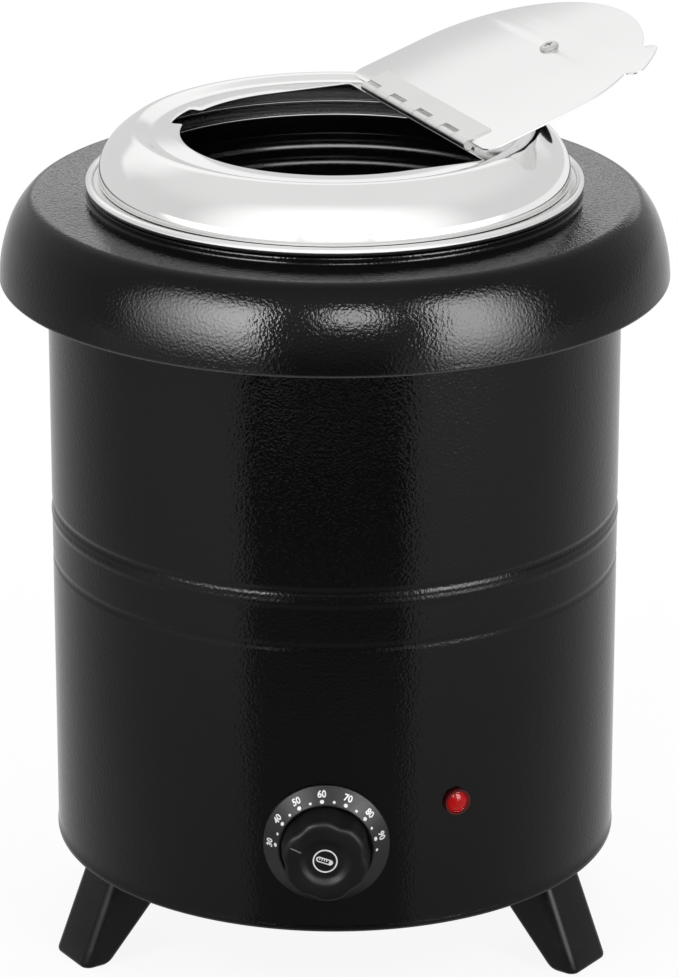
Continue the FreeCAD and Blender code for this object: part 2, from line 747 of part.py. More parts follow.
def lid_rim():
    """The ring welded inside the lid's foot, whose skirt centres the lid in the pot."""
    outer = dome_radius - d.lid_sheet - d.slip_gap
    skirt = pot_radius - d.locating_gap
    skirt_z = lid_z - d.locating_depth
    top = lid_z + d.lid_sheet
    points = [
        (skirt - d.lid_sheet, skirt_z),
        (skirt, skirt_z),
        (skirt, lid_z),
        (outer, lid_z),
        (outer, top),
        (skirt - d.lid_sheet, top),
    ]
    finish(revolve("lid_rim", points), "lid_rim")


def hinge_leaf(name, first_slot, side, drop):
    """A hinge leaf with its knuckles, its plate past the barrel's top (1) or bottom (-1) by that drop."""
    owner = body(name)
    reach, radius = d.leaf_width, d.barrel_radius
    far = radius + drop
    near = far - d.leaf_sheet
    meet = leg_of(radius, near)
    section = sketch_on(owner, f"{name}_section", "YZ_Plane")
    outline(section, [
        (reach, side * near),
        (reach, side * far),
        (0, side * far),
        (0, side * radius),
        (-radius, 0, radius, side),
        (0, -side * radius, radius, side),
        (meet, side * near, radius, side),
    ])
    pad(owner, section, KNUCKLES * knuckle_pitch - d.knuckle_gap, midplane=True)
    slots = sketch_on(owner, f"{name}_slots", "XY_Plane")
    for knuckle in range(first_slot, KNUCKLES, 2):
        start = knuckle * knuckle_pitch - hinge_half - d.knuckle_gap / 2
        end = start + knuckle_pitch + d.knuckle_gap
        rectangle(slots, start, end, -2 * radius, radius + d.slot_gap)
    pocket(owner, slots)
    bore = sketch_on(owner, f"{name}_bore", "YZ_Plane")
    pocket(owner, circle(bore, 0, 0, d.pin_radius + d.run_gap))
    return owner


def hinge():
    """Both leaves and the pin. The lid's leaf lies in the recess, the flap's on the flap's inside."""
    fixed = hinge_leaf("lid_hinge_leaf", 1, -1, d.barrel_gap)
    finish(place(fixed, pin_x, pin_y, pin_z, d.hinge_yaw), "lid_hinge_leaf")
    moving = hinge_leaf("flap_hinge_leaf", 0, 1, d.slip_gap)
    finish(place_on_flap(moving, Size(0)), "flap_hinge_leaf")
    pin = body("hinge_pin")
    rod = circle(sketch_on(pin, "hinge_pin_section", "YZ_Plane"), 0, 0, d.pin_radius)
    pad(pin, rod, KNUCKLES * knuckle_pitch - d.knuckle_gap, midplane=True)
    finish(place(pin, pin_x, pin_y, pin_z, d.hinge_yaw), "hinge_pin")


def flap():
    """The flap in its own plane: the hinge pin along X, the round end towards +Y, its inside up."""
    owner = body("flap")
    wide, far = flap_radius, d.hinge_offset
    clear = d.barrel_radius + d.slot_gap
    tab_from = d.tab_turn - d.tab_span / 2
    tab_to = d.tab_turn + d.tab_span / 2
    ear = hinge_half + d.slot_gap
    plate = sketch_on(owner, "flap_plate", "XY_Plane", flap_back)
    outline(plate, [
        (ear, d.flap_foot),
        (wide, d.flap_foot),
        (wide, far),
        (*on_circle(wide, tab_from, far), wide, 1),
        on_circle(tab_radius, tab_from, far),
        (*on_circle(tab_radius, tab_to, far), tab_radius, 1),
        on_circle(wide, tab_to, far),
        (-wide, far, wide, 1),
        (-wide, d.flap_foot),
        (-ear, d.flap_foot),
        (-ear, clear),
        (ear, clear),
    ])
    pad(owner, plate, d.flap_sheet)
    hole = sketch_on(owner, "flap_screw_hole", "XY_Plane")
    pocket(owner, circle(hole, 0, grip_reach, d.grip_screw + d.slip_gap))
    finish(place_on_flap(owner, Size(0)), "flap")


def flap_knob():
    """The knob on the flap's outside, which hangs below the open flap, and its screw."""
    low = flap_back - d.grip_height
    bore = d.grip_screw + d.run_gap
    points = [
        (bore, flap_back),
        (d.grip_base, flap_back),
        (d.grip_neck, flap_back - d.grip_height / 4),
        (d.grip_neck, flap_back - d.grip_height / 2),
        (d.grip_radius, low + d.grip_edge + d.grip_band),
        (d.grip_radius, low + d.grip_edge),
        (d.grip_radius - d.grip_edge, low),
        (0, low),
        (0, flap_back - d.grip_screw_depth),
        (bore, flap_back - d.grip_screw_depth),
    ]
    finish(place_on_flap(revolve("flap_knob", points), grip_reach), "flap_knob")
    tail = flap_back - d.grip_screw_depth + d.slip_gap
    head = flap_face + d.flap_sheet
    points = [
        (0, tail),
        (d.grip_screw, tail),
        (d.grip_screw, flap_face),
        (d.grip_screw_head, flap_face),
        (d.grip_screw_head - d.flap_sheet, head),
        (0, head),
    ]
    finish(place_on_flap(revolve("flap_knob_screw", points), grip_reach), "flap_knob_screw")


def dial_bezel():
    depth = d.bezel_height + d.bezel_radius
    blank = revolve("bezel_blank", [
        (0, 0),
        (d.bezel_radius, 0),
        (d.bezel_radius, d.bezel_radius + d.bezel_edge),
        (d.bezel_mouth, depth),
        (0, depth),
    ])
    place(blank, 0, bezel_y + depth, d.dial_z, 0, 90)
    seat = cylinder("bezel_seat", d.body_radius + d.slip_gap, 4 * d.bezel_radius)
    place(seat, z=d.dial_z - 2 * d.bezel_radius)
    recess = cylinder("bezel_recess_tool", d.bezel_recess, d.bezel_height)
    place(recess, 0, recess_y, d.dial_z, 0, 90)
    bore = place(cylinder("bezel_bore", d.shaft_hole, depth), 0, bezel_y + depth, d.dial_z, 0, 90)
    tools = [seat, recess, bore]
    tools += control_drills("bezel", d.control_screw + d.slip_gap, bezel_y + depth, depth)
    head = d.control_screw_head + d.slip_gap
    tools += control_drills("bezel_head", head, screw_seat_y, d.bezel_height)
    finish(cut("dial_bezel", blank, [fuse("bezel_tools", tools)]), "dial_bezel")


def control_knob():
    owner_points = [
        (d.shaft_radius + d.run_gap, 0),
        (d.knob_radius, 0),
        (d.knob_face, d.knob_height - d.knob_dish_depth),
        (d.knob_face - d.knob_dish_depth, d.knob_height),
        (d.knob_dish, d.knob_height),
        (d.knob_dish - d.knob_dish_depth, d.knob_height - d.knob_dish_depth),
        (0, d.knob_height - d.knob_dish_depth),
        (0, d.shaft_seat + d.slip_gap),
        (d.shaft_radius + d.run_gap, d.shaft_seat + d.slip_gap),
    ]
    owner = revolve("control_knob", owner_points)
    doc.recompute()
    flute = sketch_on(owner, "knob_flute", "XY_Plane")
    circle(flute, d.knob_radius + d.flute_radius - d.flute_depth, 0, d.flute_radius)
    groove = pocket(owner, flute)
    polar(owner, groove, flute, FLUTES)
    finish(place(owner, 0, knob_y, d.dial_z, 0, 90), "control_knob")


def thermostat():
    """The thermostat's case behind the casing wall, its shaft and its two screws."""
    case = box("thermostat_case", -d.thermostat_width / 2, thermostat_y, d.dial_z - d.thermostat_height / 2,
               d.thermostat_width, d.thermostat_depth, d.thermostat_height)
    shaft_end = thermostat_y + d.shaft_seat
    well = cylinder("thermostat_well", d.shaft_radius + d.run_gap, 2 * d.shaft_seat)
    place(well, 0, shaft_end + d.slip_gap, d.dial_z, 0, 90)
    bottom = screw_seat_y + d.control_screw_length + d.slip_gap
    drills = control_drills("thermostat", d.control_screw + d.run_gap, bottom, 2 * d.control_screw_length)
    finish(cut("thermostat", case, [well, *drills]), "thermostat")
    shaft = cylinder("thermostat_shaft", d.shaft_radius, shaft_end - knob_y + d.shaft_seat)
    finish(place(shaft, 0, shaft_end, d.dial_z, 0, 90), "thermostat_shaft")
    screws = []
    for side in (-1, 1):
        screw = turned_screw(f"control_screw_{side + 1}", d.control_screw, d.control_screw_length,
                             d.control_screw_head, d.control_head_height)
        screws.append(place(screw, side * d.control_screw_pitch / 2, screw_seat_y, d.dial_z, 0, 90))
    finish(group("thermostat_screws", screws), "thermostat_screws")


def along(start, end, length):
    """The point that far from start towards an end that lies level with it or above or below it."""
    across, up = end[0] - start[0], end[1] - start[1]
    if abs(across.value) > abs(up.value):
        return start[0] + math.copysign(1, across.value) * length, start[1]
    return start[0], start[1] + math.copysign(1, up.value) * length


def turn_at(before, corner, after):
    """1 where a route turns left at a corner, or -1 where it turns right."""
    into = [(b - a).value for a, b in zip(before, corner)]
    out = [(b - a).value for a, b in zip(corner, after)]
    return 1 if into[0] * out[1] > into[1] * out[0] else -1


def draw_route(sketch, corners, bend):
    """Straight runs along square corners, with a round bend in place of each corner between the ends."""
    points = [corners[0]]
    turns = []
    for before, corner, after in zip(corners, corners[1:], corners[2:]):
        points += [along(corner, before, bend), along(corner, after, bend)]
        turns += [0, turn_at(before, corner, after)]
    points.append(corners[-1])
    turns.append(0)
    for i, turn in enumerate(turns):
        start, end = (Vector(x.value, y.value, 0) for x, y in points[i:i + 2])
        first = 1 if turn >= 0 else 2
        if turn:
            sketch.addGeometry(arc_between(start, end, bend.value, turn), False)
            held = sketch.addConstraint(Sketcher.Constraint("Radius", i, bend.value))
            sketch.setExpression(f"Constraints[{held}]", bend.text)
        else:
            sketch.addGeometry(Part.LineSegment(start, end), False)
        hold(sketch, "DistanceX", i, first, points[i][0])
        hold(sketch, "DistanceY", i, first, points[i][1])
        hold(sketch, "DistanceX", i, 3 - first, points[i + 1][0])
        hold(sketch, "DistanceY", i, 3 - first, points[i + 1][1])
    return len(turns)


def tube(name, radius, bend, corners):
    """A round tube or wire in its own XZ plane, which leaves the first corner upwards or downwards."""
    corners = [(as_size(x), as_size(z)) for x, z in corners]
    owner = body(name)
    route = sketch_on(owner, f"{name}_route", "XZ_Plane")
    runs = draw_route(route, corners, bend)
    section = sketch_on(owner, f"{name}_section", "XY_Plane", corners[0][1])
    circle(section, corners[0][0], 0, radius)
    pipe = owner.newObject("PartDesign::AdditivePipe", f"{name}_pipe")
    pipe.Profile = section
    pipe.Spine = (route, [f"Edge{i + 1}" for i in range(runs)])
    return owner


def sensing_bulb():
    """The bulb clipped to the tank's wall and the capillary that joins it to the thermostat."""
    axis_y = leg_of(tank_outer + d.bulb_radius + d.slip_gap, d.bulb_x)
    bulb = cylinder("capillary_bulb", d.bulb_radius, d.bulb_length)
    finish(place(bulb, d.bulb_x, -axis_y, d.bulb_z), "capillary_bulb")
    start = d.dial_z + d.thermostat_height / 2
    level = (start + d.bulb_z) / 2
    corners = [(capillary_y, start), (capillary_y, level), (-axis_y, level), (-axis_y, d.bulb_z)]
    capillary = tube("capillary_tube", d.capillary_radius, d.capillary_bend, corners)
    finish(place(capillary, d.bulb_x, yaw=90), "capillary_tube")
    middle = d.bulb_z + (d.bulb_length - d.clip_width) / 2
    inside = d.bulb_radius + d.run_gap
    band = place(cylinder("clip_band", inside + d.clip_wall, d.clip_width), d.bulb_x, -axis_y, middle)
    hollow = place(cylinder("clip_hollow", inside, d.bulb_length), d.bulb_x, -axis_y, d.bulb_z)
    seat = place(cylinder("clip_seat", tank_outer + d.run_gap, d.bulb_length), z=d.bulb_z)
    mouth = box("clip_mouth_tool", d.bulb_x - d.clip_mouth, -axis_y, d.bulb_z,
                2 * d.clip_mouth, inside + d.clip_wall, d.bulb_length)
    finish(cut("bulb_clip", band, [fuse("clip_tools", [hollow, seat, mouth])]), "bulb_clip")


def wire(name, start, end, level):
    """A wire between two points (x, y, z) that runs level between them at that height."""
    across, back = end[0] - start[0], end[1] - start[1]
    squares = across * across + back * back
    span = Size(math.sqrt(squares.value), f"sqrt({squares.text})")
    yaw = Size(math.degrees(math.atan2(back.value, across.value)), f"atan2({back.text}; {across.text})")
    corners = [(0, start[2]), (0, level), (span, level), (span, end[2])]
    return place(tube(name, d.wire_radius, d.wire_bend, corners), start[0], start[1], 0, yaw)


def wiring():
    """The wires from the terminal block and the thermostat to the element and the pilot lamp."""
    block_top = base_top + d.terminal_height
    front_row = d.terminal_y - d.terminal_row / 2
    live = (d.terminal_x + d.terminal_pitch, front_row, block_top)
    neutral = (d.terminal_x + d.terminal_pitch, front_row + d.terminal_row, block_top)
    under = d.dial_z - d.thermostat_height / 2
    feed = (-d.thermostat_width / 4, thermostat_y + d.thermostat_depth / 2, under)
    switched = (d.thermostat_width / 4, thermostat_y + d.thermostat_depth / 2, under)
    left_pin, right_pin = heater_pin_spots()
    wires = [
        wire("wire_feed", live, feed, under - d.wire_drop),
        wire("wire_switched", switched, (*right_pin, pin_bottom), under - 2 * d.wire_drop),
        wire("wire_neutral", neutral, (*left_pin, pin_bottom), pin_bottom - 2 * d.wire_drop),
        lamp_wire(front_row, block_top, under),
    ]
    finish(group("wiring", wires), "wiring")


def lamp_wire(front_row, block_top, level):
    """The lamp's wire, in the upright plane of the lamp's axis."""
    start = -front_row / cos(d.lamp_turn)
    end = d.body_radius - d.lamp_length
    rise = end - 2 * d.wire_bend
    corners = [(start, block_top), (start, level), (rise, level), (rise, d.lamp_z), (end, d.lamp_z)]
    return place(tube("wire_lamp", d.wire_radius, d.wire_bend, corners), yaw=d.lamp_turn - 90)


def pilot_lamp():
    seat = d.lamp_rim_height / 2
    points = [
        (0, -d.lamp_length),
        (d.lamp_barrel, -d.lamp_length),
        (d.lamp_barrel, 0),
        (d.lamp_rim, 0),
        (d.lamp_rim, d.lamp_rim_height),
        (d.lamp_lens + d.slip_gap, d.lamp_rim_height),
        (d.lamp_lens + d.slip_gap, seat),
        (0, seat),
    ]
    holder = revolve("pilot_lamp_body", points)
    finish(place_outward(holder, d.lamp_turn, d.body_radius, d.lamp_z), "pilot_lamp_body")
    top = seat + d.lamp_lens_rise
    points = [
        (0, seat),
        (d.lamp_lens, seat),
        (d.lamp_lens, d.lamp_rim_height),
        (d.lamp_lens / 2, top - d.lamp_lens_rise / 6),
        (0, top),
    ]
    lens = revolve("pilot_lamp_lens", points)
    finish(place_outward(lens, d.lamp_turn, d.body_radius, d.lamp_z), "pilot_lamp_lens")
    nut = hex_nut("pilot_lamp_nut", d.lamp_nut, d.lamp_nut_height, d.lamp_barrel + d.run_gap)
    inner = body_inner - d.nut_set_back - d.lamp_nut_height
    finish(place_outward(nut, d.lamp_turn, inner, d.lamp_z), "pilot_lamp_nut")


def cord_gland():
    nose_top = d.gland_flange_height + d.gland_nose_height
    points = [
        (d.gland_bore, -d.gland_length),
        (d.gland_thread, -d.gland_length),
        (d.gland_thread, 0),
        (d.gland_flange, 0),
        (d.gland_flange, d.gland_flange_height),
        (d.gland_nose, d.gland_flange_height),
        (d.gland_nose, nose_top - d.gland_flange_height),
        (d.gland_nose - d.gland_flange_height, nose_top),
        (d.gland_bore, nose_top),
    ]
    finish(place_outward(revolve("cord_gland", points), 180, d.body_radius, d.gland_z), "cord_gland")
    nut = hex_nut("cord_gland_nut", d.gland_flange, d.gland_nut_height, d.gland_thread + d.run_gap)
    inner = body_inner - 2 * d.nut_set_back - d.gland_nut_height
    finish(place_outward(nut, 180, inner, d.gland_z), "cord_gland_nut")


def base_plate():
    """The pan that closes the casing below: vent slots, leg screw holes and a rim held by screws."""
    outer = body_inner - d.slip_gap
    rim_in = outer - d.base_sheet
    top = casing_z + d.base_rim
    points = [
        (0, casing_z),
        (outer, casing_z),
        (outer, top),
        (rim_in, top),
        (rim_in, base_top),
        (0, base_top),
    ]
    pan = revolve("base_pan", points)
    doc.recompute()
    vent = sketch_on(pan, "base_vent", "XY_Plane")
    rectangle(vent, d.vent_inner, d.vent_outer, -d.vent_half, d.vent_half)
    polar(pan, pocket(pan, vent), vent, VENTS)
    drills = rim_drills("base")
    for turn, name in leg_turns():
        for side in (-1, 1):
            drill = cylinder(f"base_drill_{name}_{side + 1}", d.leg_screw + d.slip_gap, 2 * d.base_rim)
            drills.append(place_leg_screw(drill, turn, side, casing_z - d.base_rim))
    finish(cut("base_plate", pan, drills), "base_plate")
    screws = []
    for turn in RIM_SCREW_TURNS:
        screw = turned_screw(f"base_screw_{turn}", d.rim_screw, d.rim_screw_length,
                             d.rim_screw_head, d.rim_screw_head_height)
        screws.append(place_outward(screw, turn, d.body_radius, base_top + d.rim_screw_z))
    finish(group("base_screws", screws), "base_screws")


def leg_turns():
    return [(-d.leg_turn, "leg_front_left"), (d.leg_turn, "leg_front_right"), (Size(180), "leg_rear")]


def place_leg_screw(obj, turn, side, z):
    across = side * d.leg_screw_half
    x = leg_screw_radius * sin(turn) + across * cos(turn)
    y = across * sin(turn) - leg_screw_radius * cos(turn)
    return place(obj, x, y, z)


def legs():
    """Three splayed legs under the base plate, each held from inside by two screws."""
    screws = []
    for turn, name in leg_turns():
        owner = leg_wedge(name)
        holes = sketch_on(owner, f"{name}_holes", "XY_Plane", casing_z)
        for side in (-1, 1):
            circle(holes, side * d.leg_screw_half, leg_screw_radius, d.leg_screw + d.run_gap)
        pocket(owner, holes, d.leg_screw_depth + d.seat_gap)
        finish(place(owner, yaw=turn + 180), name)
        for side in (-1, 1):
            screw = turned_screw(f"{name}_screw_{side + 1}", d.leg_screw, d.leg_screw_depth + d.base_sheet,
                                 d.leg_screw_head, d.leg_screw_head_height)
            screws.append(place_leg_screw(screw, turn, side, base_top))
    finish(group("leg_screws", screws), "leg_screws")


def leg_wedge(name):
    """A leg in its own frame, its outside towards +Y, rounded except under the base plate."""
    owner = body(name)
    wedge = owner.newObject("PartDesign::AdditiveWedge", f"{name}_wedge")
    attach(wedge, owner, "XZ_Plane")
    bind(wedge, Ymin=0, Ymax=casing_z)
    bind(wedge, Xmin=-d.leg_half_foot, Xmax=d.leg_half_foot, Zmin=-leg_foot_outer, Zmax=-leg_foot_inner)
    bind(wedge, X2min=-d.leg_half_top, X2max=d.leg_half_top, Z2min=-leg_top_outer, Z2max=-leg_top_inner)
    doc.recompute()
    edges = []
    for number, edge in enumerate(wedge.Shape.Edges, 1):
        if edge.BoundBox.ZMin < casing_z.value / 2:
            edges.append(f"Edge{number}")
    rounding = owner.newObject("PartDesign::Fillet", f"{name}_round")
    rounding.Base = (wedge, edges)
    bind(rounding, Radius=d.leg_round)
    return owner


def heater_pin_spots():
    """Where the element's pins stand, just past its left and right ends at the back."""
    gap = 180 - d.heater_span / 2
    clear = d.heater_pin + d.slip_gap
    spots = []
    for side in (-1, 1):
        x = side * (d.heater_ring * sin(gap) - clear * cos(gap))
        y = d.heater_ring * cos(gap) + clear * sin(gap)
        spots.append((x, y))
    return spots


def heater():
    """The tubular element under the tank, its pins, and the bar, stud and nut that clamp it there."""
    ring = bind(add("Part::Torus", "heating_element"), Radius1=d.heater_ring, Radius2=d.heater_tube,
                Angle3=d.heater_span)
    finish(place(ring, z=heater_z, yaw=270 - d.heater_span / 2), "heating_element")
    pins = []
    for number, spot in enumerate(heater_pin_spots()):
        pin = cylinder(f"heater_pin_{number}", d.heater_pin, d.heater_pin_length)
        pins.append(place(pin, *spot, pin_bottom))
    finish(group("heater_terminals", pins), "heater_terminals")
    bar_z = clamp_z - d.clamp_sheet
    bar = box("clamp_bar_blank", -d.clamp_length / 2, -d.clamp_width / 2, bar_z,
              d.clamp_length, d.clamp_width, d.clamp_sheet)
    hole = cylinder("clamp_bar_hole", d.stud_radius + d.slip_gap, 3 * d.clamp_sheet)
    place(hole, z=bar_z - d.clamp_sheet)
    finish(cut("heater_clamp_bar", bar, [hole]), "heater_clamp_bar")
    stud_z = bar_z - d.stud_tail
    stud = cylinder("heater_stud", d.stud_radius, d.tank_floor_z - stud_z)
    finish(place(stud, z=stud_z), "heater_stud")
    nut = hex_nut("heater_nut", d.stud_nut, d.stud_nut_height, d.stud_radius + d.run_gap)
    finish(place(nut, z=bar_z - d.stud_nut_height), "heater_nut")
    cutout = cylinder("thermal_cutout", d.cutout_radius, d.tank_floor_z - clamp_z - d.slip_gap)
    finish(place(cutout, d.cutout_x, 0, clamp_z), "thermal_cutout")


def terminals():
    """The terminal block with its screws, and the earth stud with its nut, on the base plate."""
    left = d.terminal_x - d.terminal_length / 2
    front = d.terminal_y - d.terminal_width / 2
    top = base_top + d.terminal_height
    block = box("terminal_blank", left, front, base_top,
                d.terminal_length, d.terminal_width, d.terminal_height)
    depth = d.terminal_screw_height
    wells = []
    screws = []
    for column in range(TERMINALS):
        x = d.terminal_x + (column - (TERMINALS - 1) / 2) * d.terminal_pitch
        for row in (-1, 1):
            y = d.terminal_y + row * d.terminal_row / 2
            name = f"terminal_{column}_{row + 1}"
            well = cylinder(f"{name}_well", d.terminal_screw + d.run_gap, depth + d.seat_gap)
            wells.append(place(well, x, y, top - depth))
            head = cylinder(f"{name}_screw", d.terminal_screw, depth - d.seat_gap)
            screws.append(place(head, x, y, top - depth))
    finish(cut("terminal_block", block, wells), "terminal_block")
    finish(group("terminal_screws", screws), "terminal_screws")
    stud = cylinder("earth_stud", d.earth_radius, d.earth_height)
    finish(place(stud, d.earth_x, d.earth_y, base_top), "earth_stud")
    nut = hex_nut("earth_nut", d.earth_nut, d.earth_nut_height, d.earth_radius + d.run_gap)
    finish(place(nut, d.earth_x, d.earth_y, base_top), "earth_nut")


def check():
    """Stop where an object failed or a sub-part has no sound shape."""
    for obj in doc.Objects:
        if {"Invalid", "Error"} & set(obj.State):
            raise RuntimeError(f"{obj.Name} failed: {obj.State}")
    for node in nodes:
        if node.Shape.isNull() or not node.Shape.isValid() or not node.Shape.Solids:
            raise RuntimeError(f"{node.Label} has no valid solid")


SUB_PARTS = (
    outer_body, top_collar, water_tank, base_plate, legs, heater, thermostat, sensing_bulb, terminals, wiring,
    dial_bezel, control_knob, pilot_lamp, cord_gland, inner_pot, lid, lid_rim, hinge, flap, flap_knob,
)
for make in SUB_PARTS:
    make()
doc.recompute()
check()
for node in nodes:
    node.Shape.exportStep(f"parts/{node.Label}.step")
print(len(nodes), "sub-parts written")
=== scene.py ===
# Soup kettle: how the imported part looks. Metres in the part's own frame; shapes are written in millimetres.
import json
import math

import bmesh
import bpy
from mathutils import Matrix, Vector


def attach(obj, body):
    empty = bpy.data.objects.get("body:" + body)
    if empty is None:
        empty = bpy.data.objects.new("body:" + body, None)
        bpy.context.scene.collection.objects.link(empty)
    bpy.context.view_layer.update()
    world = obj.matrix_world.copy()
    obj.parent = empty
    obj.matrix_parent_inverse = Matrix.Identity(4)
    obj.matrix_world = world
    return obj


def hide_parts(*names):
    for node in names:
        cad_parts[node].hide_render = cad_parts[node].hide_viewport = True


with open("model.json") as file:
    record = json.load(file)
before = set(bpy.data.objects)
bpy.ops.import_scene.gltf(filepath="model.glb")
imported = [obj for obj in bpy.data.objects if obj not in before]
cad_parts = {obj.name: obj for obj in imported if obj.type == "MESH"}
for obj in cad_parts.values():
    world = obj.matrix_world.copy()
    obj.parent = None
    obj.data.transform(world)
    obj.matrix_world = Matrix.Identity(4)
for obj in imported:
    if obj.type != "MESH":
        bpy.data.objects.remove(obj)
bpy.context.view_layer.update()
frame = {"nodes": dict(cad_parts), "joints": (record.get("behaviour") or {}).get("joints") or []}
nodes = frame["nodes"]
joints = {joint["name"]: joint for joint in frame["joints"]}

MM = 0.001
# A length that counts as none.
TINY = 1e-6

# Sides of a full turn, by how large the round piece shows.
SHELL_SIDES, POT_SIDES, KNOB_SIDES, GRIP_SIDES = 288, 256, 192, 96
SMALL_SIDES, SCREW_SIDES, TINY_SIDES, DOT_SIDES = 64, 48, 24, 16

# Sizes are in millimetres and turns in degrees.
# Casing wall: a hem at its foot and two rolled lines, of which the upper is a bead under a groove.
BODY_R, BODY_LOW, BODY_TOP, BODY_WALL = 146.0, 44.0, 386.7, 1.0
HEM_IN, HEM_OUT, HEM_RISE, HEM_END, HEM_FOLD, HEM_ROUND = 2.0, 0.35, 2.6, 4.0, 5.0, 0.9
LOWER_LINE, LOWER_DEPTH = 197.5, 0.35
UPPER_LINE, UPPER_DEPTH, UPPER_BEAD = 223.5, 0.6, 0.4
LINE_HALF = 3.0
# Rows of points up a wall: first height, step and count. They are close together at lines and beads.
WALL_ROWS = ((52.0, 11.5, 12), (190.0, 0.5, 91), (240.0, 18.0, 9))
POT_ROWS = (368.0, 0.4, 43)
# A painted highlight along a lower edge of the enamel: how far up its lighter grey is full, and where it
# ends.
EDGE_HIGHLIGHT_FULL, EDGE_HIGHLIGHT_END = 0.7, 1.5

# Collar: neck, flat shelf, then three arcs down to the lip, each with its centre, radius and end.
COLLAR_HOLE, COLLAR_TOP, COLLAR_SHEET, HOLE_EDGE = 117.1, 392.0, 1.2, 1.0
NECK_R, NECK_TOP_ROUND, NECK_TOP_INSIDE, NECK_FOOT_ROUND = 125.1, 1.2, 0.8, 1.4
SHELF_R, SHELF_Z, SHELF_FLAT, SHELF_ROUND, SHELF_TURN = 150.63, 388.0, 4.0, 8.0, 45.0
SHOULDER_R, SHOULDER_Z, SHOULDER_ROUND, SHOULDER_TURN = 128.0, 357.37, 40.0, 20.0
SIDE_R, SIDE_Z, SIDE_ROUND, SIDE_START = 90.04, 343.55, 80.4, 19.0
SIDE_TURN, SIDE_TURN_INSIDE = 3.3, 3.8
LIP_R, LIP_Z, LIP_RISE, LIP_TUCK, LIP_ROUND, LIP_INSIDE = 170.39, 346.0, 1.6, 0.4, 0.8, 0.5

# Legs: each tapers from its top to its foot, and its rings are close together at the round edge of the foot.
LEG_TOP, LEG_TOP_IN, LEG_TOP_OUT, LEG_TOP_HALF = 44.0, 105.0, 145.0, 16.0
FOOT_IN, FOOT_OUT, FOOT_HALF, LEG_CORNER, FOOT_ROUND = 146.0, 163.0, 16.5, 6.0, 3.0
LEG_ROWS = (0, 0.25, 0.7, 1.3, 2, FOOT_ROUND, 10, 20, 32, LEG_TOP)
LEG_TURNS = {"left": ("leg_front_left", -56), "right": ("leg_front_right", 56), "back": ("leg_rear", 180)}

# Pot: round corner, two beads, and a seat for the lid inside a rolled rim.
POT_R, POT_FLOOR, POT_SHEET, POT_CORNER, CORNER_STEPS = 111.0, 141.0, 1.0, 14.0, 12
POT_WALL_LOW, POT_WALL_TOP = 360.0, 388.0
POT_BEADS, POT_BEAD_DEPTH = (371.8, 380.8), 0.6
LID_SEAT, SEAT_ROUND, SEAT_END = 395.3, 3.0, 3.0
POT_RIM, POT_RIM_R, RIM_BEAD, RIM_START, RIM_END, RIM_STEPS = 396.8, 126.2, 2.25, 186.4, 520.5, 40

# Lid: skirt, shoulder arc, dome arc, a soft roll down to the ledge, and the opening with the ladle's notch.
LID_R, LID_LOW, LID_SHEET, LID_SKIRT, LID_SHOULDER, SHOULDER_STEPS = 119.5, 395.6, 1.0, 398.15, 23.7, 96
LID_HEM_ROUND, LID_HEM_INSIDE, LID_HEM_GAP = 0.85, 0.1, 0.5
SEAT_BEAD, SEAT_BEAD_DEPTH, SEAT_BEAD_HALF, SEAT_BEAD_SHINE = 401.8, 0.8, 1.5, 1.1
DOME_R, DOME_Z, DOME_ROUND, DOME_FOOT, DOME_CREST, CREST_GAP = 74.19, 374.15, 56.0, 48.0, 57.0, 0.6
LID_LEDGE, LEDGE_R, LEDGE_EDGE, LEDGE_JOIN, UNDER_JOIN = 419.39, 91.2, 0.3, 0.1, 0.5
LEDGE_CREST, LEDGE_DIP = (101.52, 423.18, 6.6), (93.4, 419.39, 9)
UNDER_CREST, UNDER_DIP = (101.43, 422.03, 5.6), (93.62, 418.39, 8)
OPENING_R, OPENING_EDGE, OPENING_CORNER, OPENING_STEPS = 78.0, 45.2, 3.0, 48
NOTCH_R, NOTCH_TURN, NOTCH_SPAN, NOTCH_FOOT, NOTCH_CORNER, NOTCH_GAP = 84.5, 225.4, 20.0, 1.6, 2.5, 3.0
# Faces of the lid that look at a point this far under it are its inside, which gets painted shade.
LID_EYE = 56.0

# Ring in the lid's foot: a skirt that goes into the pot, a rolled edge above it and a flange.
RING_R, RING_LOW, RING_TOP, RING_FLANGE, RING_SHEET = 109.4, 386.6, 396.6, 118.3, 1.0
RING_BEAD, RING_BEAD_LIFT, RING_BEAD_TURN, RING_BEAD_STEPS, RING_BEAD_END = 1.1, 0.1, 45.0, 14, 2.4
RING_FLANGE_ROUND, RING_BEND, RING_FOOT_ROUND, RING_FOOT_GAP = 0.3, 1.2, 0.4, 0.5
# Height and tilt that pick the ring's top faces for painted shade.
RING_SHADE_RISE, RING_SHADE_TILT = 0.2, 0.5

# Flap, from the pin outwards: hinge cut, round end with a tab, knob and screw.
FLAP_R, FLAP_FAR, FLAP_FOOT, FLAP_CORNER, FLAP_STEPS = 80.0, 45.4, 1.5, 7.0, 60
FLAP_BACK, FLAP_FACE, FLAP_EDGE, FLAP_OPEN = 0.6, 1.6, 0.25, 18.4
TAB_R, TAB_TURN, TAB_SPAN, TAB_FOOT, TAB_CORNER, TAB_GAP = 88.5, 42.5, 20.0, 2.0, 4.0, 4.0
HINGE_EAR, HINGE_CLEAR = 60.9, 3.4
GRIP_REACH, GRIP_HOLE = 80.16, 2.4
# The flap knob's outline: radius, depth under the flap and rounding.
GRIP_OUTLINE = (
    (0, 0), (9, 0, 0.6), (7, 7, 4), (7.2, 13, 5), (20, 22.5, 2.4), (20, 27.6, 2.2), (15, 28, 3), (0, 28),
)
# Turns that an outline leaves out of a circle beside a tab or notch and at the ends of a half circle.
STEP_GAP, END_GAP = 3.0, 2.0

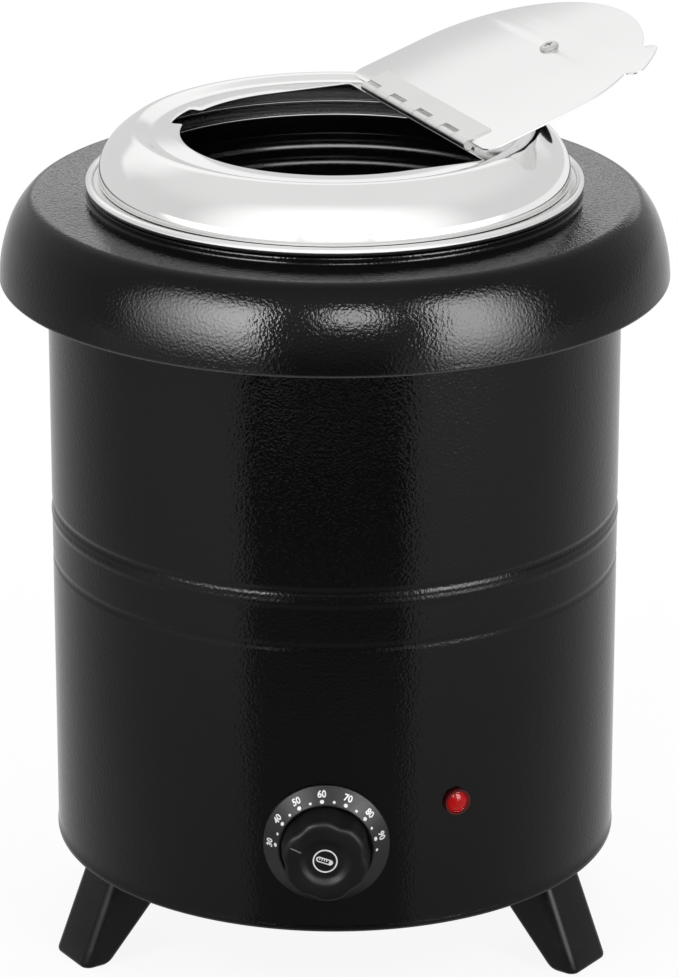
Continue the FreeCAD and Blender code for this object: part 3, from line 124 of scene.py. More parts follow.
# Screws: radius and height of the head, radius and length of the shank.
FLAP_SCREW, BASE_SCREW = (5, 1.9, 2, 14), (3.2, 1.6, 1.45, 7)
SHANK_ROUND, HEAD_FOOT_ROUND, CROSS_CLEAR = 0.3, 0.15, 1.0
SCREW_TURNS, SCREW_Z, SCREW_GAP = (100, 180, 260), 53.0, 0.1
# Shares of the head's radius and height, and how much narrower the cross is at its foot.
HEAD_SIDE, HEAD_SHOULDER_R, HEAD_SHOULDER, HEAD_ROUND = 0.35, 0.8, 0.85, 0.4
CROSS_ARM, CROSS_WIDTH, CROSS_DEPTH, CROSS_TAPER = 0.52, 0.13, 0.55, 0.8

# Dial and knob. Y is negative on the dial's side.
DIAL_Z, BEZEL_OUT, BEZEL_IN, BEZEL_EDGE_Y, BEZEL_FRONT_Y = 93.0, 31.5, 24.0, -147.0, -154.0
KNOB_Y, KNOB_FACE, KNOB_DISH, KNOB_SHARP = -149.8, 20.5, 18.3, 60
FLUTES, FLUTE_TURN, FLUTE_HALF = 6, 10.0, 20.0
# The knob's outline from its foot to its dish: radius, height and the depth of the flutes there.
KNOB_OUTLINE = (
    (0, 0), (21.9, 0, 1.0), (22.4, 0.3, 1.1), (22.5, 0.9, 1.1), (22.4, 4, 1.2), (22.2, 9, 1.3),
    (22.0, 14, 1.4), (21.8, 16.6, 1.5), (21.5, 18.2, 1.5), (20.9, 19.4, 1.4), (20.0, 20.1, 1.2),
    (18.8, 20.4, 0.9), (17.4, KNOB_FACE, 0.5), (15.5, KNOB_FACE, 0.2), (13.4, KNOB_FACE), (12.6, 20.4),
    (11.8, 20.1), (11.0, 19.5), (10.2, 18.9), (9.4, 18.5), (8.6, 18.32), (7.8, KNOB_DISH), (0, KNOB_DISH),
)

# Prints on the knob: a ring and a thermometer in the dish, in layers, and a pointer on the face.
PRINT_SUNK, PRINT_LAYER, PRINT_RING_IN, PRINT_RING_OUT = 0.1, 0.05, 5.5, 6.2
THERMOMETER_TURN, BULB_PLACE, BULB_R = -18.0, 2.9, 1.0
TUBE_START, TUBE_END, TUBE_WIDTH = -3.2, 2.6, 2.9
BORE_START, BORE_END, BORE_WIDTH = -3.1, 2.4, 1.7
TICKS, TICK_LOW, TICK_HIGH, TICK_WIDTH = (-2.9, -1.7, -0.5, 0.7), 0.1, 0.8, 0.5
POINTER_TURN, POINTER_START, POINTER_END, POINTER_WIDTH, POINTER_SUNK = 156.0, 13.2, 18.6, 0.6, 0.2
STROKE_STEPS = 8

# Prints on the bezel: numbers, a dot under each and a smaller one after it.
NUMBERS, NUMBER_START, NUMBER_STEP, NUMBER_R, NUMBER_HEIGHT = range(30, 100, 10), 176.3, 27.27, 28.2, 3.8
DOT_RING, BIG_DOT, SMALL_DOT, DOT_LOW, DOT_HIGH = 25.3, 1.05, 0.75, -0.05, 0.06
# The numbers' font: size for a height of 1, width for a width of 1, boldness, half thickness and smoothness.
FONT_SIZE, FONT_NARROW, FONT_BOLD, FONT_HALF, FONT_STEPS = 1.36, 0.85, 0.15, 0.06, 4

# Lamp: a lens with a rim round a low dome.
LAMP_TURN, LAMP_Z, LAMP_R, LENS_GAP, LENS_STEPS = 26.2, 110.0, 5.6, 0.2, 6
LENS_RIM = ((0, 0), (LAMP_R, 0), (LAMP_R, 1.7, 0.7), (4.9, 2.1, 0.3), (4.75, 1.5))
LENS_DOME_R, LENS_DOME_Z, LENS_DOME_TURN, LENS_DOME_STEPS = 7.6, -4.4, 52.0, 16

# Studio, in metres and degrees. Cards and lamps stand around a spot inside the collar.
FLOOR_HALF, FLOOR_LIFT, MIDDLE_HEIGHT, LAMP_AIM = 6.0, 0.002, 0.36, 0.25
CAMERA_PLACE, CAMERA_TURN, CAMERA_DIP = (0.0024, -2.404, 1.113), 1.6, 20.22
# The camera's sensor and lens are in millimetres.
CAMERA_SENSOR, CAMERA_LENS = 36.0, 182.58

QUARTER = Matrix.Rotation(math.radians(90), 4, "X")
pin = joints["flap_swing"]
lid_place = Matrix.Rotation(math.atan2(pin["axis"][1], pin["axis"][0]), 4, "Z")
flap_place = Matrix.Translation(pin["pos_m"]) @ lid_place @ Matrix.Rotation(math.radians(FLAP_OPEN), 4, "X")
knob_place = Matrix.Translation((0, KNOB_Y * MM, DIAL_Z * MM)) @ QUARTER


def toward(turn):
    """A level step of length 1 away from the kettle's axis, turned from the dial's side."""
    turn = math.radians(turn)
    return Vector((math.sin(turn), -math.cos(turn), 0))


def outward(turn, radius, z):
    """A place in millimetres whose own Z points away from the kettle's axis, turned from the dial's side."""
    spot = toward(turn) * radius + Vector((0, 0, z))
    return Matrix.Translation(spot) @ Matrix.Rotation(math.radians(turn), 4, "Z") @ QUARTER


# Materials.
class Finish:
    """A procedural material around one Principled shader, patterned in the object's own metres."""

    def __init__(self, name, **values):
        self.material = bpy.data.materials.new(name)
        self.material.use_nodes = True
        self.tree = self.material.node_tree
        self.shader = self.tree.nodes["Principled BSDF"]
        self.normal = None
        for socket, value in values.items():
            self.shader.inputs[socket.replace("_", " ")].default_value = value

    def node(self, kind, **values):
        made = self.tree.nodes.new(kind)
        for socket, value in values.items():
            made.inputs[socket.replace("_", " ")].default_value = value
        return made

    def link(self, source, target):
        self.tree.links.new(source, target)

    def noise(self, scale, detail=2.0, stretch=None):
        """Cloudy values; scale is in features per metre and stretch thins it along an axis."""
        coords = self.node("ShaderNodeTexCoord").outputs["Object"]
        if stretch:
            mapping = self.node("ShaderNodeMapping", Scale=stretch)
            self.link(coords, mapping.inputs["Vector"])
            coords = mapping.outputs["Vector"]
        texture = self.node("ShaderNodeTexNoise", Scale=scale, Detail=detail)
        self.link(coords, texture.inputs["Vector"])
        return texture.outputs["Fac"]

    def height(self):
        """How high up a spot is, in metres."""
        split = self.node("ShaderNodeSeparateXYZ")
        self.link(self.node("ShaderNodeTexCoord").outputs["Object"], split.inputs["Vector"])
        return split.outputs["Z"]

    def vary(self, socket, source, low, high, start=0.3, end=0.7):
        """Let a pattern move one of the shader's values between two."""
        spread = self.node("ShaderNodeMapRange", From_Min=start, From_Max=end, To_Min=low, To_Max=high)
        self.link(source, spread.inputs["Value"])
        self.link(spread.outputs["Result"], self.shader.inputs[socket])

    def tint(self, source, low, high, start=0.3, end=0.7):
        """Let a pattern move the colour between two."""
        ramp = self.node("ShaderNodeValToRGB")
        for stop, position, colour in zip(ramp.color_ramp.elements, (start, end), (low, high)):
            stop.position = position
            stop.color = (*colour, 1)
        self.link(source, ramp.inputs["Fac"])
        self.link(ramp.outputs["Color"], self.shader.inputs["Base Color"])

    def below(self, top, full, colour):
        """Mix in another colour from one height down to a lower one where it is full, in millimetres."""
        usual = self.shader.inputs["Base Color"].links[0].from_socket
        mix = self.node("ShaderNodeMix")
        mix.data_type = "RGBA"
        mix.inputs["B"].default_value = (*colour, 1)
        fade = self.node("ShaderNodeMapRange", From_Min=full * MM, From_Max=top * MM, To_Min=1, To_Max=0)
        self.link(self.height(), fade.inputs["Value"])
        self.link(fade.outputs["Result"], mix.inputs["Factor"])
        self.link(usual, mix.inputs["A"])
        self.link(mix.outputs["Result"], self.shader.inputs["Base Color"])

    def bump(self, source, depth):
        """Raise the surface by a pattern, depth in millimetres."""
        bump = self.node("ShaderNodeBump", Distance=depth * MM, Strength=1.0)
        self.link(source, bump.inputs["Height"])
        if self.normal:
            self.link(self.normal, bump.inputs["Normal"])
        self.normal = bump.outputs["Normal"]
        self.link(self.normal, self.shader.inputs["Normal"])


finishes = {}


def enamel(name):
    """Black enamel with an orange peel skin."""
    paint = Finish(name, Specular_IOR_Level=0.14)
    paint.tint(paint.noise(scale=9, detail=4), low=(0.0018, 0.0018, 0.0019), high=(0.0032, 0.0032, 0.0034))
    paint.vary("Roughness", paint.noise(scale=14, detail=5), low=0.05, high=0.09)
    paint.bump(paint.noise(scale=60), depth=0.05)
    paint.bump(paint.noise(scale=680, detail=1), depth=0.155)
    finishes[name] = paint.material
    return paint


def worn_enamel(name, edge):
    """The same enamel with a painted highlight: lighter grey along a lower edge at a height in millimetres.
    """
    enamel(name).below(edge + EDGE_HIGHLIGHT_END, edge + EDGE_HIGHLIGHT_FULL, colour=(0.05, 0.05, 0.05))


def metal(name, dark, light, rough, depth, stretch=None, scale=900):
    """Bare metal: two shades, a range of roughness, and a grain with its depth in millimetres."""
    bare = Finish(name, Metallic=1.0)
    bare.tint(bare.noise(scale=7, detail=3), dark, light)
    bare.vary("Roughness", bare.noise(scale, stretch=stretch), *rough)
    bare.bump(bare.noise(scale, stretch=stretch), depth)
    finishes[name] = bare.material


def plastic(name, dark, light, rough, depth, **values):
    """Plastic or print: two shades, a range of roughness, and a skin with its depth in millimetres."""
    moulding = Finish(name, **values)
    moulding.tint(moulding.noise(scale=40, detail=4), dark, light)
    moulding.vary("Roughness", moulding.noise(scale=60, detail=5), *rough)
    moulding.bump(moulding.noise(scale=900), depth)
    finishes[name] = moulding.material


enamel("black_enamel")
# The casing's foot and the collar's lip get a painted highlight, a lighter grey along the edge.
worn_enamel("body_enamel", BODY_LOW)
worn_enamel("collar_enamel_edge_highlight", LIP_Z)

ALONG_SHEET = (0.3, 6, 6)
metal("polished_steel", (0.88, 0.88, 0.875), (0.94, 0.94, 0.935), rough=(0.05, 0.09), depth=0.0006)
metal("brushed_sheet", (0.84, 0.84, 0.835), (0.9, 0.9, 0.895), rough=(0.12, 0.2), depth=0.002,
      stretch=ALONG_SHEET)
metal("pot_steel", (0.88, 0.88, 0.875), (0.94, 0.94, 0.935), rough=(0.14, 0.24), depth=0.0006)
# A darker copy of the steel for inside faces, and a near black one for the ring's top: painted shade.
metal("inside_steel_painted_shade", (0.28, 0.28, 0.28), (0.36, 0.36, 0.36), rough=(0.14, 0.24), depth=0.001)
metal("seat_steel_painted_shade", (0.03, 0.03, 0.03), (0.05, 0.05, 0.05), rough=(0.2, 0.3), depth=0.001)
metal("hinge_sheet", (0.7, 0.7, 0.69), (0.78, 0.78, 0.77), rough=(0.22, 0.34), depth=0.002,
      stretch=ALONG_SHEET)
metal("galvanised_sheet", (0.42, 0.43, 0.45), (0.6, 0.61, 0.62), rough=(0.38, 0.6), depth=0.004, scale=160)
metal("zinc_fasteners", (0.6, 0.6, 0.58), (0.74, 0.74, 0.72), rough=(0.2, 0.36), depth=0.003)
metal("element_sheath", (0.2, 0.17, 0.15), (0.42, 0.38, 0.34), rough=(0.35, 0.55), depth=0.004)
metal("terminal_brass", (0.62, 0.42, 0.17), (0.8, 0.6, 0.3), rough=(0.22, 0.4), depth=0.003)

plastic("black_moulding", (0.0032, 0.0032, 0.0034), (0.0055, 0.0055, 0.0058), rough=(0.36, 0.48), depth=0.03,
        Specular_IOR_Level=0.1)
plastic("leg_moulding", (0.0026, 0.0026, 0.0028), (0.0046, 0.0046, 0.0048), rough=(0.2, 0.3), depth=0.02,
        Specular_IOR_Level=0.14)
plastic("dial_plastic", (0.0075, 0.0077, 0.0084), (0.0105, 0.0107, 0.0115), rough=(0.34, 0.46), depth=0.02,
        Specular_IOR_Level=0.15)
plastic("control_plastic", (0.02, 0.02, 0.021), (0.034, 0.034, 0.036), rough=(0.3, 0.5), depth=0.01)
plastic("wire_insulation", (0.13, 0.06, 0.03), (0.2, 0.1, 0.055), rough=(0.4, 0.55), depth=0.01)
plastic("red_lens", (0.46, 0.003, 0.004), (0.62, 0.006, 0.008), rough=(0.08, 0.16), depth=0.004,
        Specular_IOR_Level=0.14)
plastic("lamp_rim", (0.07, 0.002, 0.002), (0.12, 0.003, 0.003), rough=(0.14, 0.24), depth=0.004,
        Specular_IOR_Level=0.2)
plastic("grey_print", (0.08, 0.08, 0.08), (0.12, 0.12, 0.12), rough=(0.45, 0.6), depth=0.004)
plastic("white_print", (0.68, 0.68, 0.67), (0.8, 0.8, 0.79), rough=(0.45, 0.6), depth=0.004)

for node in nodes.values():
    for holder in node.material_slots:
        holder.material = finishes[holder.material.name.split(".")[0]]
for name in ("lid_hinge_leaf", "flap_hinge_leaf", "hinge_pin"):
    nodes[name].material_slots[0].material = finishes["hinge_sheet"]
nodes["pilot_lamp_body"].material_slots[0].material = finishes["lamp_rim"]


# Shapes: a shape is a list of points and a list of faces.
def blend(start, end, share):
    """A point of the arc between two arms of a circle."""
    angle = start.angle(end)
    return (start * math.sin((1 - share) * angle) + end * math.sin(share * angle)) / math.sin(angle)


def rounded(points, steps=8):
    """An outline whose corners are rounded. A point is (x, y) or (x, y, radius)."""
    outline = []
    for i, point in enumerate(points):
        spot = Vector(point[:2])
        if len(point) == 2:
            outline.append(tuple(spot))
            continue
        back = (Vector(points[i - 1][:2]) - spot).normalized()
        ahead = (Vector(points[(i + 1) % len(points)][:2]) - spot).normalized()
        half = back.angle(ahead) / 2
        reach = point[2] / math.tan(half)
        centre = spot + (back + ahead).normalized() * point[2] / math.sin(half)
        start, end = spot + back * reach - centre, spot + ahead * reach - centre
        outline += [tuple(centre + blend(start, end, step / steps)) for step in range(steps + 1)]
    return outline


def polar(radius, turn, x=0.0, y=0.0):
    """A point on a circle, turned in degrees."""
    angle = math.radians(turn)
    return x + radius * math.cos(angle), y + radius * math.sin(angle)


def arc(radius, first, last, x=0.0, y=0.0, steps=24):
    """Points on a circle between two turns."""
    return [polar(radius, first + (last - first) * step / steps, x, y) for step in range(steps + 1)]


def circle(radius, sides, x=0.0, y=0.0):
    """A whole circle without its first point again at the end."""
    return arc(radius, 0, 360 - 360 / sides, x, y, sides - 1)


def step_out(inner, outer, start, end, foot, corner, gap, y=0.0):
    """Part of an outline that steps out from one circle to another between two turns, with round corners."""
    return [
        (*polar(inner, start, 0, y), foot),
        (*polar(outer, start, 0, y), corner),
        *arc(outer, start + gap, end - gap, 0, y),
        (*polar(outer, end, 0, y), corner),
        (*polar(inner, end, 0, y), foot),
    ]


def rows(first, step, count):
    return [first + step * i for i in range(count)]


def bridge(first, second):
    """Faces between two rings of points, either of which may be one point on the axis."""
    count = max(len(first), len(second))
    faces = []
    for i in range(count if len(first) + len(second) > 2 else 0):
        corners = [first[i % len(first)], first[(i + 1) % len(first)],
                   second[(i + 1) % len(second)], second[i % len(second)]]
        faces.append(list(dict.fromkeys(corners)))
    return faces


def turned(profile, sides, ripple=None):
    """A closed outline of (radius, height) points turned about Z.
    A third number in a point says how much of the ripple comes off its radius."""
    points, rings = [], []
    for radius, height, *amount in profile:
        count = sides if radius > TINY else 1
        rings.append(range(len(points), len(points) + count))
        for i in range(count):
            angle = math.tau * i / count
            reach = radius - (amount[0] * ripple(angle) if amount else 0)
            points.append((reach * math.cos(angle), reach * math.sin(angle), height))
    faces = []
    for first, second in zip(rings, rings[1:] + rings[:1]):
        faces += bridge(first, second)
    return points, faces


def stacked(rings):
    """A solid through rings with as many points each, with flat ends."""
    count = len(rings[0])
    points = sum(rings, [])
    faces = [list(range(count))[::-1], list(range(len(points) - count, len(points)))]
    for start in range(0, len(points) - count, count):
        faces += bridge(range(start, start + count), range(start + count, start + 2 * count))
    return points, faces


def read_mesh(mesh):
    return [tuple(v.co) for v in mesh.vertices], [list(face.vertices) for face in mesh.polygons]


def plate(outlines, low, high, edge):
    """A flat sheet between two heights: its outline first, then its holes.
    The rounded edge adds to the outline."""
    curve = bpy.data.curves.new("plate", "CURVE")
    curve.dimensions = "2D"
    curve.fill_mode = "BOTH"
    curve.extrude = (high - low) / 2 - edge
    curve.bevel_depth = edge
    curve.bevel_resolution = 2
    for outline in outlines:
        spline = curve.splines.new("POLY")
        spline.points.add(len(outline) - 1)
        spline.use_cyclic_u = True
        for point, spot in zip(spline.points, outline):
            point.co = (*spot, 0, 1)
    holder = bpy.data.objects.new("plate", curve)
    shape = read_mesh(bpy.data.meshes.new_from_object(holder))
    bpy.data.objects.remove(holder)
    return moved(shape, Matrix.Translation((0, 0, (low + high) / 2)))


def moved(shape, matrix):
    return [tuple(matrix @ Vector(point)) for point in shape[0]], shape[1]


def joined(*shapes):
    points, faces = [], []
    for shape in shapes:
        faces += [[corner + len(points) for corner in face] for face in shape[1]]
        points += shape[0]
    return points, faces


def new_object(name, shape, place=Matrix()):
    """An object with a shape in millimetres, put in its place in metres."""
    mesh = bpy.data.meshes.new(name)
    mesh.from_pydata([place @ (Vector(point) * MM) for point in shape[0]], [], shape[1])
    work = bmesh.new()
    work.from_mesh(mesh)
    bmesh.ops.remove_doubles(work, verts=work.verts, dist=TINY)
    bmesh.ops.recalc_face_normals(work, faces=work.faces)
    work.to_mesh(mesh)
    work.free()
    obj = bpy.data.objects.new(name, mesh)
    bpy.context.scene.collection.objects.link(obj)
    return obj


def carved(shape, cutter):
    """A shape less another one."""
    block, tool = new_object("block", shape), new_object("tool", cutter)
    cut = block.modifiers.new("cut", "BOOLEAN")
    cut.object = tool
    solved = block.evaluated_get(bpy.context.evaluated_depsgraph_get())
    points, faces = read_mesh(bpy.data.meshes.new_from_object(solved))
    bpy.data.objects.remove(block)
    bpy.data.objects.remove(tool)
    return [tuple(Vector(point) / MM) for point in points], faces


def piece(name, shape, slot, body, place=Matrix(), node=None, sharp=38, finish=None):
    """A piece that rides on a body. It may stand for a CAD node and have a finish of its own."""
    obj = new_object(name, shape, place)
    obj.data.shade_smooth()
    obj.data.set_sharp_from_angle(angle=math.radians(sharp))
    obj.data.materials.append(finishes[finish or slot])
    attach(obj, body)
    if node:
        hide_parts(node)
    return obj


def dull(shell, finish, chosen):
    """Give some faces of a shell a second finish, a darker steel that is painted shade."""
    shell.data.materials.append(finishes[finish])
    for face in shell.data.polygons:
        if chosen(face.center / MM, face.normal):
            face.material_index = 1


# Casing, collar and legs.
def swell(z, centre, half):
    """A smooth hump of height 1."""
    away = abs(z - centre) / half
    return 0.5 + 0.5 * math.cos(math.pi * away) if away < 1 else 0.0


def wall_offset(z):
    """How far the casing's rolled lines stand out of the wall or go into it."""
    bead = UPPER_BEAD * swell(z, UPPER_LINE - LINE_HALF, LINE_HALF)
    groove = UPPER_DEPTH * swell(z, UPPER_LINE + LINE_HALF, LINE_HALF)
    return bead - groove - LOWER_DEPTH * swell(z, LOWER_LINE, LINE_HALF)


def casing_wall():
    heights = sum((rows(*band) for band in WALL_ROWS), [])
    outside = [(BODY_R + wall_offset(z), z) for z in heights]
    inside = [(BODY_R - BODY_WALL + wall_offset(z), z) for z in heights]
    hem = rounded([
        (BODY_R - HEM_IN, BODY_LOW + HEM_FOLD),
        (BODY_R - HEM_IN, BODY_LOW, HEM_ROUND),
        (BODY_R + HEM_OUT, BODY_LOW, HEM_ROUND),
        (BODY_R + HEM_OUT, BODY_LOW + HEM_RISE, HEM_ROUND),
        (BODY_R, BODY_LOW + HEM_END),
    ])
    profile = hem + outside + [(BODY_R, BODY_TOP), (BODY_R - BODY_WALL, BODY_TOP)] + inside[::-1]
    piece("casing_wall", turned(profile, SHELL_SIDES), "black_enamel", "casing", node="outer_body",
          finish="body_enamel")


def collar_shell():
    sheet, lip_top = COLLAR_SHEET, LIP_Z + LIP_RISE
    neck, lip = NECK_R - sheet, LIP_R - sheet
    shelf, shoulder, side = (SHELF_R, SHELF_Z - SHELF_ROUND), (SHOULDER_R, SHOULDER_Z), (SIDE_R, SIDE_Z)
    profile = rounded([
        (COLLAR_HOLE, COLLAR_TOP),
        (COLLAR_HOLE, COLLAR_TOP - sheet),
        (neck, COLLAR_TOP - sheet, NECK_TOP_INSIDE),
        (neck, SHELF_Z - sheet, NECK_FOOT_ROUND),
        (SHELF_R - SHELF_FLAT, SHELF_Z - sheet),
    ])
    profile += arc(SHELF_ROUND - sheet, 90, SHELF_TURN, *shelf)
    profile += arc(SHOULDER_ROUND - sheet, SHELF_TURN, SHOULDER_TURN, *shoulder)
    profile += arc(SIDE_ROUND - sheet, SIDE_START, SIDE_TURN_INSIDE, *side)
    profile += rounded([
        (lip, lip_top),
        (lip - LIP_TUCK, LIP_Z, LIP_INSIDE),
        (LIP_R, LIP_Z, LIP_ROUND),
        (LIP_R, lip_top),
    ])
    profile += arc(SIDE_ROUND, SIDE_TURN, SIDE_START, *side)
    profile += arc(SHOULDER_ROUND, SHOULDER_TURN, SHELF_TURN, *shoulder)
    profile += arc(SHELF_ROUND, SHELF_TURN, 90, *shelf)
    profile += rounded([
        (SHELF_R - SHELF_FLAT, SHELF_Z),
        (NECK_R, SHELF_Z, NECK_FOOT_ROUND),
        (NECK_R, COLLAR_TOP, NECK_TOP_ROUND),
        (COLLAR_HOLE + HOLE_EDGE, COLLAR_TOP),
    ])
    piece("collar_shell", turned(profile, SHELL_SIDES), "black_enamel", "casing", node="top_collar",
          finish="collar_enamel_edge_highlight")


def leg_ring(z):
    """The leg's outline at a height: across its width and outwards, with round corners."""
    share = z / LEG_TOP
    lift = min(z, FOOT_ROUND)
    inset = FOOT_ROUND - math.sqrt(FOOT_ROUND ** 2 - (FOOT_ROUND - lift) ** 2)
    half = FOOT_HALF + (LEG_TOP_HALF - FOOT_HALF) * share - inset
    near = FOOT_IN + (LEG_TOP_IN - FOOT_IN) * share + inset
    far = FOOT_OUT + (LEG_TOP_OUT - FOOT_OUT) * share - inset
    corners = ((-half, near), (half, near), (half, far), (-half, far))
    return [(x, -y, z) for x, y in rounded([(*spot, LEG_CORNER - inset) for spot in corners])]


def legs():
    shape = stacked([leg_ring(z) for z in LEG_ROWS])
    for side, (node, turn) in LEG_TURNS.items():
        place = Matrix.Rotation(math.radians(turn), 4, "Z")
        piece(f"leg_{side}", shape, "black_moulding", "casing", place, node, finish="leg_moulding")


# Pot and lid.
def pot_wall(radius):
    beads = [(sum(swell(z, bead, LINE_HALF) for bead in POT_BEADS), z) for z in rows(*POT_ROWS)]
    return [(radius + POT_BEAD_DEPTH * share, z) for share, z in beads]


def pot_shell():
    outer, floor, web = POT_R + POT_SHEET, POT_FLOOR + POT_SHEET, LID_SEAT - POT_SHEET
    bead_r, bead_z = POT_RIM_R - RIM_BEAD, POT_RIM - RIM_BEAD
    seat_end, inside_corner = bead_r - SEAT_END, POT_CORNER - POT_SHEET
    profile = rounded([(0, POT_FLOOR), (outer, POT_FLOOR, POT_CORNER), (outer, POT_WALL_LOW)], CORNER_STEPS)
    profile += pot_wall(outer)
    profile += rounded([(outer, POT_WALL_TOP), (outer, web, SEAT_ROUND - POT_SHEET), (seat_end, web)])
    profile += arc(RIM_BEAD, RIM_START, RIM_END, bead_r, bead_z, RIM_STEPS)
    profile += rounded([(seat_end, LID_SEAT), (POT_R, LID_SEAT, SEAT_ROUND), (POT_R, POT_WALL_TOP)])
    profile += pot_wall(POT_R)[::-1]
    profile += rounded([(POT_R, POT_WALL_LOW), (POT_R, floor, inside_corner), (0, floor)], CORNER_STEPS)
    pot = piece("pot_shell", turned(profile, POT_SIDES), "polished_steel", "pot", node="inner_pot",
                finish="pot_steel")
    # The pot's inner faces below the lid's seat get the darker steel: painted shade.
    middle = Vector((0, 0, (POT_FLOOR + POT_RIM) / 2))
    dull(pot, "inside_steel_painted_shade", lambda spot, normal: spot.z < web and normal.dot(spot - middle) < 0)


def lid_profile():
    """The lid's outline from the ledge out along its underside, round the hem and back over its top."""
    sheet, low, hem_top = LID_SHEET, LID_LEDGE - LID_SHEET, LID_SKIRT - LID_HEM_GAP
    shoulder, dome = (LID_R - LID_SHOULDER, LID_SKIRT), (DOME_R, DOME_Z)
    profile = [(LEDGE_R, LID_LEDGE), (LEDGE_R, low)]
    under = polar(DOME_ROUND - sheet, DOME_CREST, *dome)
    profile += rounded([(LEDGE_R + UNDER_JOIN, low), UNDER_DIP, UNDER_CREST, under])
    profile += arc(DOME_ROUND - sheet, DOME_CREST - CREST_GAP, DOME_FOOT, *dome)
    seat = arc(LID_SHOULDER - sheet, DOME_FOOT, 0, *shoulder, SHOULDER_STEPS)
    profile += [(radius - SEAT_BEAD_DEPTH * swell(z, SEAT_BEAD, SEAT_BEAD_HALF), z) for radius, z in seat]
    profile += rounded([
        (LID_R - sheet, hem_top),
        (LID_R - sheet, LID_LOW, LID_HEM_INSIDE),
        (LID_R, LID_LOW, LID_HEM_ROUND),
        (LID_R, hem_top),
    ])
    profile += arc(LID_SHOULDER, 0, DOME_FOOT, *shoulder)
    profile += arc(DOME_ROUND, DOME_FOOT, DOME_CREST - CREST_GAP, *dome)
    top = polar(DOME_ROUND, DOME_CREST, *dome)
    return profile + rounded([top, LEDGE_CREST, LEDGE_DIP, (LEDGE_R + LEDGE_JOIN, LID_LEDGE)])


def lid_opening():
    """The D shaped opening with the notch, straight along the hinge and wider by the ledge's rounded edge."""
    wide = OPENING_R + LEDGE_EDGE
    start, end = NOTCH_TURN - NOTCH_SPAN / 2, NOTCH_TURN + NOTCH_SPAN / 2
    return rounded([
        (wide, OPENING_EDGE, OPENING_CORNER),
        (-wide, OPENING_EDGE, OPENING_CORNER),
        (-wide, 0),
        *arc(wide, 180 + END_GAP, start - STEP_GAP),
        *step_out(wide, NOTCH_R, start, end, NOTCH_FOOT, NOTCH_CORNER, NOTCH_GAP),
        *arc(wide, end + STEP_GAP, 360 - END_GAP, steps=OPENING_STEPS),
        (wide, 0),
    ])


def lid_shell():
    """The lid, darker inside as painted shade but for the bead round its foot."""
    ledge = plate([circle(LEDGE_R, SHELL_SIDES), lid_opening()], LID_LEDGE - LID_SHEET, LID_LEDGE, LEDGE_EDGE)
    shape = joined(turned(lid_profile(), SHELL_SIDES), moved(ledge, lid_place))
    shell = piece("lid_shell", shape, "polished_steel", "lid", node="lid")
    eye = Vector((0, 0, LID_LOW - LID_EYE))
    dull(shell, "inside_steel_painted_shade",
         lambda spot, normal: abs(spot.z - SEAT_BEAD) > SEAT_BEAD_SHINE and normal.dot(spot - eye) < 0)


def lid_rim_ring():
    """The ring inside the lid's foot, near black on top as painted shade but for its rolled inner edge."""
    outer, bead = RING_R + RING_SHEET, (RING_R + RING_BEAD, RING_TOP + RING_BEAD_LIFT)
    profile = [(RING_R, RING_LOW + RING_FOOT_GAP)]
    profile += arc(RING_BEAD, 180, RING_BEAD_TURN, *bead, RING_BEAD_STEPS)
    profile += rounded([
        (RING_R + RING_BEAD_END, RING_TOP),
        (RING_FLANGE, RING_TOP, RING_FLANGE_ROUND),
        (RING_FLANGE, LID_LOW, RING_FLANGE_ROUND),
        (outer, LID_LOW, RING_BEND),
        (outer, RING_LOW, RING_FOOT_ROUND),
        (RING_R, RING_LOW, RING_FOOT_ROUND),
    ])
    rim = piece("lid_rim_ring", turned(profile, POT_SIDES), "polished_steel", "lid", node="lid_rim")
    dull(rim, "seat_steel_painted_shade",
         lambda spot, normal: spot.z < RING_TOP + RING_SHADE_RISE and normal.z > RING_SHADE_TILT)


# Flap with its knob and screw, in the flap's own plane: the pin along X, the inside of the flap up.
def flap_plate():
    wide, far = FLAP_R - FLAP_EDGE, FLAP_FAR
    start, end = TAB_TURN - TAB_SPAN / 2, TAB_TURN + TAB_SPAN / 2
    outline = rounded([
        (HINGE_EAR, FLAP_FOOT),
        (wide, FLAP_FOOT, FLAP_CORNER),
        (wide, far),
        *arc(wide, END_GAP, start - STEP_GAP, 0, far),
        *step_out(wide, TAB_R, start, end, TAB_FOOT, TAB_CORNER, TAB_GAP, far),
        *arc(wide, end + STEP_GAP, 180 - END_GAP, 0, far, FLAP_STEPS),
        (-wide, far),
        (-wide, FLAP_FOOT, FLAP_CORNER),
        (-HINGE_EAR, FLAP_FOOT),
        (-HINGE_EAR, HINGE_CLEAR),
        (HINGE_EAR, HINGE_CLEAR),
    ])
    hole = circle(GRIP_HOLE, TINY_SIDES, 0, GRIP_REACH)
    sheet = plate([outline, hole], FLAP_BACK, FLAP_FACE, FLAP_EDGE)
    piece("flap_plate", sheet, "brushed_sheet", "flap", flap_place, "flap")


def flap_grip():
    profile = rounded([(radius, FLAP_BACK - depth, *corner) for radius, depth, *corner in GRIP_OUTLINE])
    grip = moved(turned(profile, GRIP_SIDES), Matrix.Translation((0, GRIP_REACH, 0)))
    piece("flap_grip", grip, "black_moulding", "flap", flap_place, "flap_knob")


def slab(x, y, low, high):
    """A block centred on Z, narrower at its foot."""
    corners = ((-x, -y), (x, -y), (x, y), (-x, y))
    levels = ((low, CROSS_TAPER), (high, 1.0))
    return stacked([[(a * share, b * share, z) for a, b in corners] for z, share in levels])


